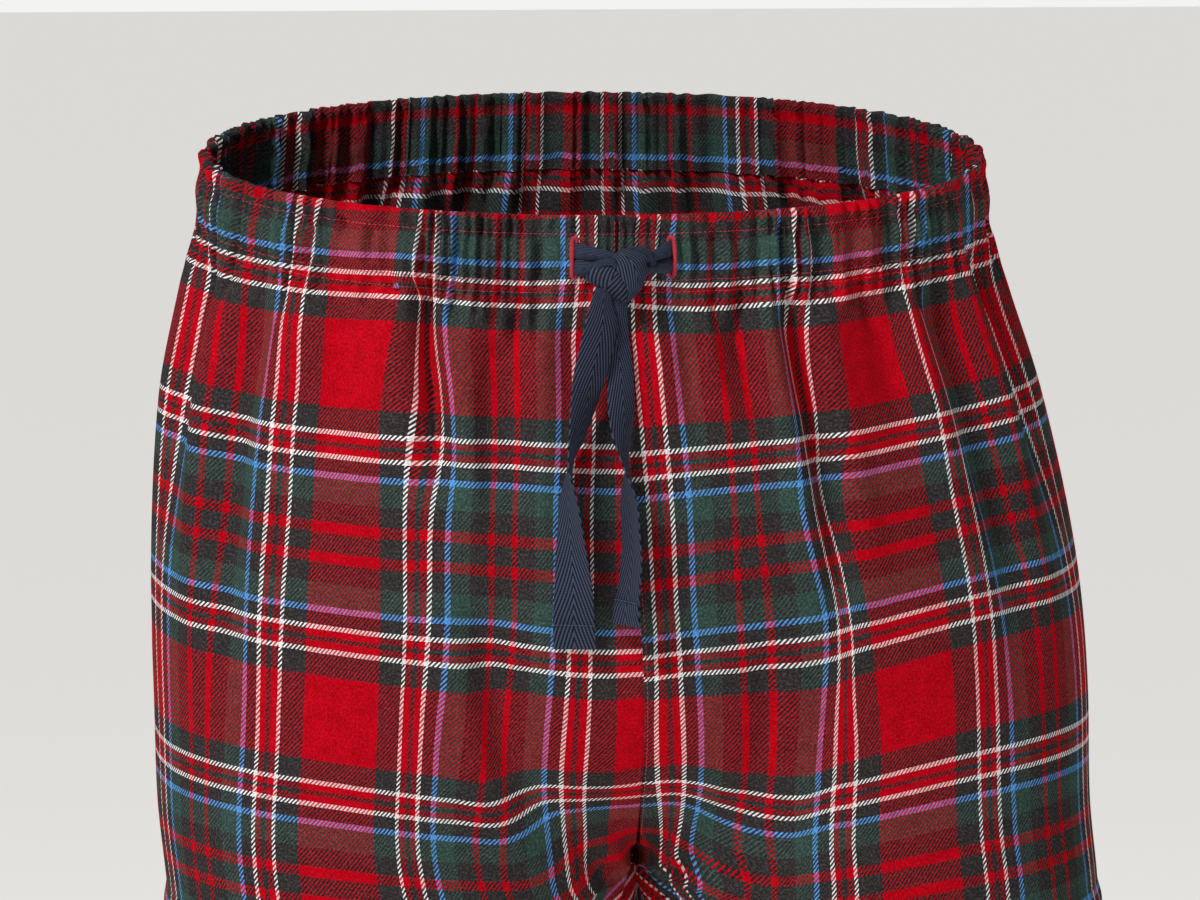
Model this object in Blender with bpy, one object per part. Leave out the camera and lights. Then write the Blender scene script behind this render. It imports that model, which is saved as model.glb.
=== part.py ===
"""Pyjama trousers for a man, size M: a gathered waist on elastic, four leg panels and a tape drawcord.

Metres, +Z up. The front faces -Y and the wearer's left side is at +X. The origin is the middle of the
waist opening, where the wearer holds the trousers up. They hang as worn: hollow, open at the waist and
at both hems. A drop is a depth below the waist opening, and a share is how far round one half of the
girth a point lies, from 0 at the centre front (or the inseam) to 1 at the centre back.
"""

import bisect
import math

import bmesh
import bpy
from mathutils import Matrix, Vector

MM = 0.001

# ---- driving sizes ---------------------------------------------------------------------------------
CLOTH = 1.6 * MM                    # brushed cotton wall
HEM_CLOTH = 2.8 * MM                # the cuff's hem is turned twice
GAP = 0.3 * MM                      # left between pieces at every seam
WAIST_TILT = math.radians(9.0)      # the back of the waist is cut higher than the front
TILT_FADES_AT = 0.26                # drop below which the sections lie level
CASING_HEIGHT = 36.5 * MM
CASING_WALL = 3.0 * MM              # two cloths with the elastic between them
BEND_DROP = 0.205                   # where the centre seams start to curve under
CROTCH_DROP = 0.328
THIGH_DROP = 0.338                  # the same row at the side of the leg
LEG_FORM_FROM = 0.15                # the hip's side starts to turn into a leg here
LEG_FORM_BY = 0.42                  # and is a leg by here
HEM_DROP = 1.05
HEM_HEIGHT = 22 * MM
SIDE_SHARE = 0.48                   # the side seam lies a little forward of the side

GATHERS_PER_HALF = 29               # fine gathers on the elastic
STEPS_PER_GATHER = 4
GATHER_DEPTH = 1.2 * MM
LIP_SHARE = 0.45                    # the cloth beside a fold stands out by this share of its depth
LIP_AWAY = 1.7                      # so many half widths from the fold's bottom
FOLDS_FADE_NEAR_SEAMS = 22 * MM
NARROWEST = 6 * MM                  # of a panel's columns at the waist
WIDEST = 17 * MM

BUTTONHOLE_HEIGHT = 19 * MM
BUTTONHOLE_DROP = 19.3 * MM         # of its middle, down the casing
BUTTONHOLE_SLOT = 1.7 * MM
BUTTONHOLE_DEPTH = 1.7 * MM
BUTTONHOLE_ACROSS = {"right": -19.0 * MM, "left": 24.4 * MM}
FLAT_AT_BUTTONHOLES = 30 * MM       # the gathers ease off this near the centre front
EASE_OFF_OVER = 20 * MM

TAPE_WIDTH = 18.8 * MM
TAPE_THICK = 1.4 * MM
TAPE_HEM = 11 * MM                  # turned and stitched end
TAPE_HEM_THICK = 2.4 * MM
TAPE_CUP = 0.8 * MM

# ---- sections --------------------------------------------------------------------------------------
# The hips and waist: power is the squareness of the oval, 2 for an ellipse.
BODY = [
    # drop, half width, front depth, back depth, power
    (0.000, 0.180, 0.120, 0.122, 2.10),
    (0.040, 0.184, 0.122, 0.126, 2.12),
    (0.110, 0.202, 0.126, 0.135, 2.22),
    (0.205, 0.216, 0.127, 0.138, 2.35),
    (0.330, 0.218, 0.125, 0.130, 2.40),
]
LEG = [
    # drop, inner side, outer side, centre depth, half depth, power
    (0.328, 0.0000, 0.2165, -0.010, 0.1150, 2.35),
    (0.336, 0.0042, 0.2175, -0.010, 0.1140, 2.35),
    (0.360, 0.0110, 0.2195, -0.010, 0.1120, 2.30),
    (0.440, 0.0280, 0.2195, -0.010, 0.1040, 2.25),
    (0.540, 0.0390, 0.2165, -0.010, 0.0965, 2.20),
    (0.660, 0.0480, 0.2130, -0.008, 0.0895, 2.20),
    (0.860, 0.0590, 0.2105, 0.002, 0.0820, 2.20),
    (1.050, 0.0680, 0.2095, 0.012, 0.0770, 2.20),
]
# The whole garment hangs a little towards the wearer's left below the waist.
SWAY = [
    # drop, across
    (0.000, 0.000),
    (0.060, 0.000),
    (0.205, 0.0105),
    (0.250, 0.0126),
    (0.300, 0.0136),
    (0.350, 0.0178),
    (1.050, 0.0205),
]

# ---- folds that run down the cloth from the gathers, and the drape of the legs -------------------------
FOLDS = [
    # side, top share, top drop, low share, low drop, half width, depth
    (-1, 0.042, 0.028, 0.045, 0.110, 0.0075, 0.0022),
    (-1, 0.096, 0.028, 0.104, 0.210, 0.0090, 0.0042),
    (-1, 0.181, 0.028, 0.158, 0.175, 0.0085, 0.0090),
    (-1, 0.250, 0.028, 0.246, 0.150, 0.0110, 0.0036),
    (-1, 0.340, 0.028, 0.352, 0.290, 0.0120, 0.0070),
    (-1, 0.425, 0.028, 0.418, 0.190, 0.0110, 0.0050),
    (-1, 0.520, 0.028, 0.512, 0.230, 0.0120, 0.0060),
    (-1, 0.600, 0.028, 0.606, 0.160, 0.0110, 0.0045),
    (-1, 0.690, 0.028, 0.684, 0.250, 0.0120, 0.0065),
    (-1, 0.770, 0.028, 0.772, 0.150, 0.0100, 0.0040),
    (-1, 0.850, 0.028, 0.842, 0.220, 0.0120, 0.0060),
    (-1, 0.935, 0.028, 0.935, 0.140, 0.0100, 0.0036),
    (1, 0.062, 0.028, 0.066, 0.130, 0.0080, 0.0026),
    (1, 0.108, 0.028, 0.112, 0.120, 0.0080, 0.0050),
    (1, 0.163, 0.028, 0.170, 0.230, 0.0085, 0.0092),
    (1, 0.250, 0.028, 0.246, 0.150, 0.0110, 0.0040),
    (1, 0.318, 0.028, 0.330, 0.260, 0.0120, 0.0085),
    (1, 0.405, 0.028, 0.398, 0.180, 0.0110, 0.0050),
    (1, 0.500, 0.028, 0.512, 0.240, 0.0120, 0.0062),
    (1, 0.585, 0.028, 0.580, 0.170, 0.0110, 0.0045),
    (1, 0.665, 0.028, 0.672, 0.220, 0.0120, 0.0062),
    (1, 0.750, 0.028, 0.742, 0.160, 0.0100, 0.0042),
    (1, 0.830, 0.028, 0.838, 0.250, 0.0120, 0.0062),
    (1, 0.925, 0.028, 0.922, 0.150, 0.0100, 0.0036),
    # the hip and the legs
    (-1, 0.118, 0.170, 0.112, 0.330, 0.0150, 0.0045),
    (-1, 0.100, 0.330, 0.260, 0.700, 0.0260, 0.0090),
    (-1, 0.420, 0.360, 0.300, 0.900, 0.0240, 0.0080),
    (-1, 0.640, 0.330, 0.760, 0.800, 0.0280, 0.0100),
    (-1, 0.880, 0.420, 0.620, 0.980, 0.0240, 0.0080),
    (-1, 0.180, 0.760, 0.360, 1.040, 0.0220, 0.0080),
    (1, 0.080, 0.330, 0.220, 0.620, 0.0260, 0.0090),
    (1, 0.380, 0.340, 0.330, 0.820, 0.0240, 0.0085),
    (1, 0.660, 0.340, 0.720, 0.860, 0.0280, 0.0100),
    (1, 0.900, 0.400, 0.700, 0.960, 0.0240, 0.0080),
    (1, 0.150, 0.700, 0.300, 1.040, 0.0220, 0.0080),
]

# ---- the casing's wall, from the fold at the top round to the inside -----------------------------------
CASING_OUTSIDE = [
    # drop down the casing, stands out, share of the gathers' depth
    (0.0 * MM, -1.2 * MM, 0.50),
    (2.2 * MM, 0.1 * MM, 0.80),
    (8.5 * MM, -0.8 * MM, 0.60),
    (18.0 * MM, 0.4 * MM, 1.00),
    (29.5 * MM, -0.8 * MM, 0.70),
    (CASING_HEIGHT, -0.3 * MM, 0.90),
]

# ---- the drawcord's free ends, across and drop from the centre front's top edge, as they hang ----------
TAILS = {
    "right": [
        # across, drop, stands off the cloth, twist in degrees from lying flat, share of the full width
        (-8.3 * MM, 36.5 * MM, 9.5 * MM, -25.0, 0.56),
        (-8.8 * MM, 49.5 * MM, 12.4 * MM, -27.0, 0.90),
        (-13.0 * MM, 67.3 * MM, 13.6 * MM, -30.0, 0.96),
        (-15.6 * MM, 80.6 * MM, 11.5 * MM, -44.0, 0.98),
        (-19.4 * MM, 98.4 * MM, 11.0 * MM, -64.0, 1.0),
        (-22.7 * MM, 111.0 * MM, 11.0 * MM, -84.0, 1.0),
        (-22.8 * MM, 125.0 * MM, 10.5 * MM, -108.0, 1.0),
        (-22.1 * MM, 140.0 * MM, 9.5 * MM, -122.0, 1.0),
        (-20.6 * MM, 165.5 * MM, 6.8 * MM, -147.0, 1.0),
        (-20.3 * MM, 180.5 * MM, 4.4 * MM, -164.0, 1.0),
        (-19.8 * MM, 193.3 * MM, 3.6 * MM, -170.0, 1.0),
    ],
    "left": [
        (-1.5 * MM, 37.5 * MM, 4.4 * MM, -8.0, 0.50),
        (-2.0 * MM, 49.5 * MM, 4.4 * MM, -14.0, 0.70),
        (0.4 * MM, 67.3 * MM, 4.8 * MM, -12.0, 0.64),
        (0.8 * MM, 80.6 * MM, 7.0 * MM, -26.0, 0.72),
        (1.0 * MM, 98.4 * MM, 10.5 * MM, -62.0, 1.0),
        (2.4 * MM, 111.0 * MM, 11.0 * MM, -82.0, 1.0),
        (3.8 * MM, 125.0 * MM, 11.0 * MM, -106.0, 1.0),
        (4.8 * MM, 140.0 * MM, 10.5 * MM, -109.0, 1.0),
        (5.0 * MM, 152.0 * MM, 10.5 * MM, -113.0, 1.0),
        (4.0 * MM, 164.0 * MM, 10.5 * MM, -115.0, 1.0),
        (2.8 * MM, 174.0 * MM, 10.0 * MM, -121.0, 1.0),
        (2.6 * MM, 182.0 * MM, 10.0 * MM, -125.0, 1.0),
    ],
}

KNOT_MIDDLE = (0.0 * MM, 26.0 * MM)   # across and drop, as above
KNOT_HALF = (14.4 * MM, 6.8 * MM, 11.4 * MM)
KNOT_OFF_CASING = 8.4 * MM
KNOT_RIGHT_EDGE = -15.4 * MM          # the wearer's right, where that run of tape meets the knot
KNOT_LEFT_EDGE = 16.0 * MM


# ---- arithmetic ------------------------------------------------------------------------------------
def ease(value):
    """0 below 0, 1 above 1, and a smooth step between."""
    value = min(max(value, 0.0), 1.0)
    return value * value * (3.0 - 2.0 * value)


def profile(table, drop):
    """The table's other columns at a drop, on a smooth curve through its rows."""
    drops = [row[0] for row in table]
    if drop <= drops[0]:
        return table[0][1:]
    if drop >= drops[-1]:
        return table[-1][1:]
    low = bisect.bisect_right(drops, drop) - 1
    span = drops[low + 1] - drops[low]
    t = (drop - drops[low]) / span

    def slope(at, column):
        before, after = max(at - 1, 0), min(at + 1, len(table) - 1)
        return (table[after][column] - table[before][column]) / (drops[after] - drops[before])

    values = []
    for column in range(1, len(table[0])):
        start, end = table[low][column], table[low + 1][column]
        rise_in, rise_out = slope(low, column) * span, slope(low + 1, column) * span
        values.append(
            (2 * t**3 - 3 * t**2 + 1) * start
            + (t**3 - 2 * t**2 + t) * rise_in
            + (3 * t**2 - 2 * t**3) * end
            + (t**3 - t**2) * rise_out
        )
    return tuple(values)


def rounded(angle, power):
    """A superellipse's cosine and sine."""
    cosine, sine = math.cos(angle), math.sin(angle)
    return (
        math.copysign(abs(cosine) ** (2 / power), cosine),
        math.copysign(abs(sine) ** (2 / power), sine),
    )


class Girth:
    """A line round one half of the garment at one drop, read by its share of the length."""

    def __init__(self, points):
        self.points = points
        self.along = [0.0]
        for before, after in zip(points, points[1:]):
            self.along.append(self.along[-1] + math.dist(before, after))
        self.length = self.along[-1]

    def at(self, share):
        reach = min(max(share, 0.0), 1.0) * self.length
        low = min(max(bisect.bisect_right(self.along, reach) - 1, 0), len(self.points) - 2)
        step = self.along[low + 1] - self.along[low]
        t = (reach - self.along[low]) / step if step else 0.0
        (x0, y0), (x1, y1) = self.points[low], self.points[low + 1]
        return (x0 + (x1 - x0) * t, y0 + (y1 - y0) * t)


FINE_STEPS = 360


def body_girth(drop):
    half_width, front, back, power = profile(BODY, drop)
    points = []
    for step in range(FINE_STEPS + 1):
        cosine, sine = rounded(math.pi * (step / FINE_STEPS - 0.5), power)
        points.append((half_width * abs(cosine), (front if sine < 0 else back) * sine))
    return Girth(points)


def leg_girth(drop):
    inner, outer, deep, half_depth, power = profile(LEG, drop)
    across, half_width = (inner + outer) / 2, (outer - inner) / 2
    points = []
    for step in range(FINE_STEPS + 1):
        cosine, sine = rounded(math.pi * (2 * step / FINE_STEPS - 1), power)
        points.append((across + half_width * cosine, deep + half_depth * sine))
    return Girth(points)


# ---- how the gathers and folds run -----------------------------------------------------------------
def gather_turns(share, side):
    """How many fine gathers lie between the centre front and a share: unevenly spaced."""
    return (
        GATHERS_PER_HALF * share
        + 0.55 * math.sin(3 * math.pi * share)
        + 0.30 * side * math.sin(8 * math.pi * share)
        + 0.22 * math.sin(13 * math.pi * share)
    )


def share_of(turns, side):
    """The share at which the gathers have made so many turns."""
    low, high = 0.0, 1.0
    for _ in range(40):
        middle = (low + high) / 2
        if gather_turns(middle, side) < turns:
            low = middle
        else:
            high = middle
    return (low + high) / 2


def fold_height(side, share, drop, length):
    """How far the cloth stands out of (or, below zero, sinks into) its plain form. A fold starts fast
    at its top and fades slowly at its foot."""
    height = 0.0
    for fold_side, top_share, top_drop, low_share, low_drop, half_width, depth in FOLDS:
        t = (drop - top_drop) / (low_drop - top_drop)
        if fold_side != side or not 0.0 < t < 1.0:
            continue
        strength = ease(t / 0.15) * ease((1 - t) / 0.6)
        middle = top_share + (low_share - top_share) * t
        away = (share - middle) * length / half_width
        crease = math.exp(-away * away)
        lips = math.exp(-((away - LIP_AWAY) ** 2)) + math.exp(-((away + LIP_AWAY) ** 2))
        height -= depth * strength * (crease - LIP_SHARE * lips)
    from_seams = ease(share * length / FOLDS_FADE_NEAR_SEAMS)
    from_seams *= ease((1 - share) * length / FOLDS_FADE_NEAR_SEAMS)
    return height * from_seams


def panel_shares(side, length):
    """The columns of one half: the bottom and flanks of each fold at the waist, and halfway between."""
    marks = {0.0, SIDE_SHARE, 1.0}
    for fold_side, top_share, top_drop, low_share, _, half_width, _ in FOLDS:
        if fold_side == side and top_drop < CASING_HEIGHT:
            middle = top_share * 0.6 + low_share * 0.4
            marks.update(middle + step * half_width / length for step in (-1.0, 0.0, 1.0))
    kept = []
    for mark in sorted(marks):
        near_end = min(mark, 1.0 - mark) * length
        fixed = mark in (0.0, SIDE_SHARE, 1.0)
        if not fixed and (near_end < NARROWEST or abs(mark - SIDE_SHARE) * length < NARROWEST):
            continue
        if kept and not fixed and (mark - kept[-1]) * length < NARROWEST:
            continue
        if kept and (mark - kept[-1]) * length > WIDEST:
            kept.append((kept[-1] + mark) / 2)
        kept.append(mark)
    return kept


# ---- the leg panels --------------------------------------------------------------------------------
SEAM_REACH = 0.25                   # the share of the girth over which a seam's shape fades
BODY_ROWS = 7
CROTCH_ROWS = 7
LEG_ROWS = 11


def panel_rows():
    """(drop at the side, drop at the seams, how far the half girth has closed into a leg)."""
    rows = []
    top = CASING_HEIGHT + GAP
    for step in range(BODY_ROWS + 1):
        drop = top + (BEND_DROP - top) * step / BODY_ROWS
        rows.append((drop, drop, 0.0))
    for step in range(1, CROTCH_ROWS + 1):
        turn = math.pi / 2 * step / CROTCH_ROWS
        side_drop = BEND_DROP + (THIGH_DROP - BEND_DROP) * step / CROTCH_ROWS
        seam_drop = BEND_DROP + (CROTCH_DROP - BEND_DROP) * math.sin(turn)
        rows.append((side_drop, seam_drop, 1.0 if step == CROTCH_ROWS else 1.0 - math.cos(turn)))
    hem_top = HEM_DROP - HEM_HEIGHT
    for step in range(1, LEG_ROWS + 1):
        drop = THIGH_DROP + (hem_top - THIGH_DROP) * (step / LEG_ROWS) ** 1.3
        rows.append((drop, drop, 1.0))
    rows.append((hem_top + MM, hem_top + MM, 1.0))
    rows.append((HEM_DROP, HEM_DROP, 1.0))
    return rows


def lift(y, drop):
    """How much higher than its drop a point lies: the waist tilts, and the tilt fades below it."""
    return y * math.tan(WAIST_TILT) * (1.0 - ease(drop / TILT_FADES_AT))


def place(side, x, y, drop):
    """A point of one half, tilted at the waist and swayed below it."""
    sway = profile(SWAY, drop)[0]
    return Vector((side * (x + GAP / 2) + sway, y, lift(y, drop) - drop))


def plain_row(side, row, shares):
    """One row of the plain form, and its length. It closes into a leg fast at the seams and gently at
    the side, so no crease runs round the hip."""
    side_drop, seam_drop, closed = row
    body, leg = body_girth(side_drop), leg_girth(seam_drop)
    at_side = ease((side_drop - LEG_FORM_FROM) / (LEG_FORM_BY - LEG_FORM_FROM))
    length = body.length * (1 - at_side) + leg.length * at_side
    points = []
    for share in shares:
        near_seam = 1.0 - ease(min(share, 1.0 - share) / SEAM_REACH)
        drop = side_drop + (seam_drop - side_drop) * near_seam
        if closed >= 1.0:
            half_gap = GAP / 2 / length
            share = min(max(share, half_gap), 1.0 - half_gap)
        (bx, by), (lx, ly) = body.at(share), leg.at(share)
        leg_part = at_side + (closed - at_side) * near_seam
        x, y = bx + (lx - bx) * leg_part, by + (ly - by) * leg_part
        points.append(place(side, x, y, drop))
    return points, length


def grid_normals(grid, side, seam, rows):
    """Outward normals of a half's grid. Both sides of a seam share one, so its edges stay parallel."""
    last_row, last = len(grid) - 1, len(grid[0]) - 1
    normals = []
    for r in range(last_row + 1):
        line = []
        for c in range(last + 1):
            across = grid[r][min(c + 1, last)] - grid[r][max(c - 1, 0)]
            down = grid[min(r + 1, last_row)][c] - grid[max(r - 1, 0)][c]
            line.append((down.cross(across) * side).normalized())
        shared = (line[seam] + line[seam + 1]).normalized()
        line[seam], line[seam + 1] = shared, shared
        if rows[r][2] >= 1.0:
            shared = (line[0] + line[last]).normalized()
            line[0], line[last] = shared, shared
        for end in (0, last):
            if line[end].x * side > 0.0:
                line[end].x = 0.0
                line[end].normalize()
        if r == 0:
            for normal in line:
                normal.z = 0.0
                normal.normalize()
        normals.append(line)
    return normals


def half_grids(side):
    """The outer and inner grids of one half, and the column where its front panel ends."""
    rows = panel_rows()
    shares = panel_shares(side, body_girth(CASING_HEIGHT).length)
    seam = shares.index(SIDE_SHARE)
    plain, lengths = [], []
    for row in rows:
        length = plain_row(side, row, [0.0])[1]
        half_gap = GAP / 2 / length
        split = shares[:seam] + [SIDE_SHARE - half_gap, SIDE_SHARE + half_gap] + shares[seam + 1:]
        plain.append(plain_row(side, row, split)[0])
        lengths.append(length)
    split = shares[:seam] + [SIDE_SHARE, SIDE_SHARE] + shares[seam + 1:]

    normals = grid_normals(plain, side, seam, rows)
    outer = []
    for r, row in enumerate(rows):
        outer.append([
            point + normal * fold_height(side, share, row[0], lengths[r])
            for point, normal, share in zip(plain[r], normals[r], split)
        ])
    normals = grid_normals(outer, side, seam, rows)
    inner = []
    for r in range(len(rows)):
        wall = HEM_CLOTH if r >= len(rows) - 2 else CLOTH
        inner.append([point - normal * wall for point, normal in zip(outer[r], normals[r])])
    return outer, inner, seam


# ---- making objects --------------------------------------------------------------------------------
def material(name, colour, roughness):
    made = bpy.data.materials.new(name)
    made.use_nodes = True
    shader = made.node_tree.nodes["Principled BSDF"]
    shader.inputs["Base Color"].default_value = (*colour, 1.0)
    shader.inputs["Roughness"].default_value = roughness
    shader.inputs["Metallic"].default_value = 0.0
    return made


def add_object(name, points, faces, colour, roughness=0.9, sharp_degrees=60.0):
    mesh = bpy.data.meshes.new(name)
    mesh.from_pydata([tuple(point) for point in points], [], faces)
    mesh.validate()
    mesh.materials.append(material(name + "_cloth", colour, roughness))
    mesh.shade_smooth()
    mesh.set_sharp_from_angle(angle=math.radians(sharp_degrees))
    made = bpy.data.objects.new(name, mesh)
    bpy.context.scene.collection.objects.link(made)
    return made


def shell_faces(rows, columns, flip):
    """Faces of a wall: an outer grid, then an inner one of the same size, joined round the rim."""
    def outer(r, c):
        return r * columns + c

    def inner(r, c):
        return rows * columns + r * columns + c

    faces = []
    for r in range(rows - 1):
        for c in range(columns - 1):
            faces.append((outer(r, c), outer(r + 1, c), outer(r + 1, c + 1), outer(r, c + 1)))
            faces.append((inner(r, c), inner(r, c + 1), inner(r + 1, c + 1), inner(r + 1, c)))
    for c in range(columns - 1):
        last = rows - 1
        faces.append((outer(0, c), outer(0, c + 1), inner(0, c + 1), inner(0, c)))
        faces.append((outer(last, c + 1), outer(last, c), inner(last, c), inner(last, c + 1)))
    for r in range(rows - 1):
        last = columns - 1
        faces.append((outer(r + 1, 0), outer(r, 0), inner(r, 0), inner(r + 1, 0)))
        faces.append((outer(r, last), outer(r + 1, last), inner(r + 1, last), inner(r, last)))
    return [tuple(reversed(face)) for face in faces] if flip else faces


def add_panels(side, side_name, colour):
    outer, inner, seam = half_grids(side)
    for name, first, end in (("front", 0, seam + 1), ("back", seam + 1, len(outer[0]))):
        points = [point for grid in (outer, inner) for row in grid for point in row[first:end]]
        faces = shell_faces(len(outer), end - first, flip=side < 0)
        add_object(f"{name}_{side_name}", points, faces, colour)


# ---- the casing ------------------------------------------------------------------------------------
def casing_columns():
    """(side, share) of each column round the casing: four to a gather, from the centre front round
    the wearer's left to the centre back and on round the right."""
    steps = GATHERS_PER_HALF * STEPS_PER_GATHER
    left = [share_of(step / STEPS_PER_GATHER, 1) for step in range(1, steps)]
    right = [share_of(step / STEPS_PER_GATHER, -1) for step in range(1, steps)]
    centre_front, centre_back = (1, 0.0), (1, 1.0)
    return (
        [centre_front]
        + [(1, share) for share in left]
        + [centre_back]
        + [(-1, share) for share in reversed(right)]
    )


def gather_height(side, share, length):
    """The fine gathers of the casing, shallower beside the buttonholes."""
    uneven = 0.75 + 0.25 * math.sin(5 * math.pi * share + side) * math.sin(17 * math.pi * share)
    ease_off = 0.25 + 0.75 * ease((share * length - FLAT_AT_BUTTONHOLES) / EASE_OFF_OVER)
    return GATHER_DEPTH * uneven * ease_off * math.cos(2 * math.pi * gather_turns(share, side))


def casing_point(side, share, down, out, gathered):
    """A point of the casing: so far down it, and so far out of its plain form."""
    girth = body_girth(down)
    nearby = 0.004
    (x0, y0), (x1, y1) = girth.at(share - nearby), girth.at(share + nearby)
    x, y = girth.at(share)
    outward = Vector((y1 - y0, x0 - x1, 0.0)).normalized()
    if share < nearby or share > 1.0 - nearby:
        outward = Vector((0.0, -1.0 if share < nearby else 1.0, 0.0))
    main = fold_height(side, share, down, girth.length)
    height = out + gathered * gather_height(side, share, girth.length) + main
    return Vector((side * (x + outward.x * height), y + outward.y * height, lift(y, down) - down))


def add_casing(colour):
    columns = casing_columns()
    inside = [
        (CASING_HEIGHT, -0.3 * MM - CASING_WALL * 0.8, 0.50),
        (18.0 * MM, 0.4 * MM - CASING_WALL, 0.40),
        (2.2 * MM, -CASING_WALL * 0.9, 0.40),
    ]
    section = CASING_OUTSIDE + inside
    points = []
    for side, share in columns:
        for down, out, gathered in section:
            points.append(casing_point(side, share, down, out, gathered))
    count, around = len(section), len(columns)
    faces = []
    for c in range(around):
        after = (c + 1) % around
        for s in range(count):
            s_next = (s + 1) % count
            faces.append((c * count + s, c * count + s_next, after * count + s_next, after * count + s))
    casing = add_object("waist_casing", points, faces, colour)
    for name, across in BUTTONHOLE_ACROSS.items():
        cut_buttonhole(casing, name, across)


def casing_front(across, down):
    """A point of the casing's plain outer form by its distance across from the centre front."""
    girth = body_girth(down)
    share = abs(across) / girth.length
    x, y = girth.at(share)
    return Vector((math.copysign(x, across), y, lift(y, down) - down))


def cut_buttonhole(casing, name, across):
    """A slot in the casing's outer cloth that the drawcord comes out of."""
    middle = casing_front(across, BUTTONHOLE_DROP)
    mesh = bpy.data.meshes.new(f"buttonhole_cut_{name}")
    work = bmesh.new()
    bmesh.ops.create_cube(work, size=1.0)
    size = Matrix.Diagonal((BUTTONHOLE_SLOT, 2 * BUTTONHOLE_DEPTH, BUTTONHOLE_HEIGHT, 1.0))
    bmesh.ops.transform(work, matrix=size, verts=work.verts)
    work.to_mesh(mesh)
    work.free()
    cutter = bpy.data.objects.new(f"buttonhole_cut_{name}", mesh)
    cutter.location = middle + Vector((0.0, 0.3 * MM, 0.0))
    cutter.hide_render = True
    cutter.display_type = "WIRE"
    bpy.context.scene.collection.objects.link(cutter)
    cut = casing.modifiers.new(f"buttonhole_{name}", "BOOLEAN")
    cut.operation = "DIFFERENCE"
    cut.object = cutter


# ---- the drawcord ----------------------------------------------------------------------------------
def front_surface(across, drop):
    """The depth (y) of the plain front at a distance from the centre front."""
    girth = body_girth(drop)
    return girth.at(abs(across) / girth.length)[1]


def front_top():
    return front_surface(0.0, 0.0) * math.tan(WAIST_TILT)


def spline(rows, count):
    """Points on a smooth curve through the rows, evenly spaced by row."""
    table = [(index, *row) for index, row in enumerate(rows)]
    last = len(rows) - 1
    return [profile(table, last * step / (count - 1)) for step in range(count)]


def loft(name, sections, colour):
    """One closed solid through rings of equal count."""
    count = len(sections[0])
    points = [point for ring in sections for point in ring]
    faces = []
    for s in range(len(sections) - 1):
        for k in range(count):
            k_next = (k + 1) % count
            faces.append((s * count + k, s * count + k_next, (s + 1) * count + k_next, (s + 1) * count + k))
    faces.append(tuple(reversed(range(count))))
    last = (len(sections) - 1) * count
    faces.append(tuple(last + k for k in range(count)))
    made = add_object(name, points, faces, colour, roughness=0.85)
    work = bmesh.new()
    work.from_mesh(made.data)
    bmesh.ops.recalc_face_normals(work, faces=work.faces)
    work.to_mesh(made.data)
    work.free()
    return made


def ribbon_ring(middle, wide, thick, width, thickness):
    """A flat tape's section: six points, cupped a little across its width."""
    half = width / 2
    ring = []
    for across, face in ((-1, 1), (0, 1), (1, 1), (1, -1), (0, -1), (-1, -1)):
        bowed = TAPE_CUP * (1 - across * across)
        ring.append(middle + wide * (across * half) + thick * (face * thickness / 2 + bowed))
    return ring


TAIL_STEPS = 26


def add_tail(name, rows, colour):
    stations = spline(rows, TAIL_STEPS)
    length = sum(math.hypot(b[0] - a[0], b[1] - a[1]) for a, b in zip(stations, stations[1:]))
    rings, run = [], 0.0
    for index, (across, drop, off, twist, wide_share) in enumerate(stations):
        if index:
            before = stations[index - 1]
            run += math.hypot(across - before[0], drop - before[1])
        top = front_top()
        middle = Vector((across, front_surface(across, drop) - off, top - drop))
        turn = math.radians(twist)
        wide = Vector((math.cos(turn), -math.sin(turn), 0.0))
        thick = Vector((-math.sin(turn), -math.cos(turn), 0.0))
        in_hem = length - run < TAPE_HEM
        thickness = TAPE_HEM_THICK if in_hem else TAPE_THICK
        rings.append(ribbon_ring(middle, wide, thick, TAPE_WIDTH * wide_share, thickness))
    loft(name, rings, colour)


RUN_ROWS = [
    # how far from the buttonhole to the knot, height of the tape, thickness, stands off, middle's drop
    (0.00, 16.8 * MM, 0.9 * MM, -0.2 * MM, 20.0 * MM),
    (0.08, 16.6 * MM, 0.9 * MM, 1.0 * MM, 20.1 * MM),
    (0.25, 16.0 * MM, 1.7 * MM, 2.4 * MM, 20.3 * MM),
    (0.60, 14.0 * MM, 3.0 * MM, 4.2 * MM, 21.5 * MM),
    (1.00, 11.5 * MM, 4.2 * MM, 6.0 * MM, 23.0 * MM),
]


RUN_RING = [
    # up or down the tape's height, which face, how far the crease sinks as a share of the thickness
    (-1.0, 1, 0.00),
    (-0.1, 1, 0.21),
    (0.1, 1, 0.21),
    (1.0, 1, 0.00),
    (1.0, -1, 0.00),
    (0.0, -1, 0.00),
    (-1.0, -1, 0.00),
]


def add_run(name, buttonhole, knot_edge, colour):
    """The tape from its buttonhole to the knot, folded lengthwise with a crease along its outside."""
    rings = []
    for share, height, thickness, off, drop in RUN_ROWS:
        across = buttonhole + (knot_edge - buttonhole) * share
        base = casing_front(across, drop)
        middle = Vector((across, base.y - off, front_top() - drop))
        ring = []
        for up, face, sunk in RUN_RING:
            crease = sunk if share > 0.1 else 0.0
            depth = (face / 2 - crease) * thickness
            ring.append(middle + Vector((0.0, -depth, up * height / 2)))
        rings.append(ring)
    loft(name, rings, colour)


KNOT_AROUND = 22
KNOT_RINGS = 12
BAND_LIES = (0.62, 0.78)              # the slant of the band over the knot, across and up
BAND_HALF = 0.42                      # as a share of the knot


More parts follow.
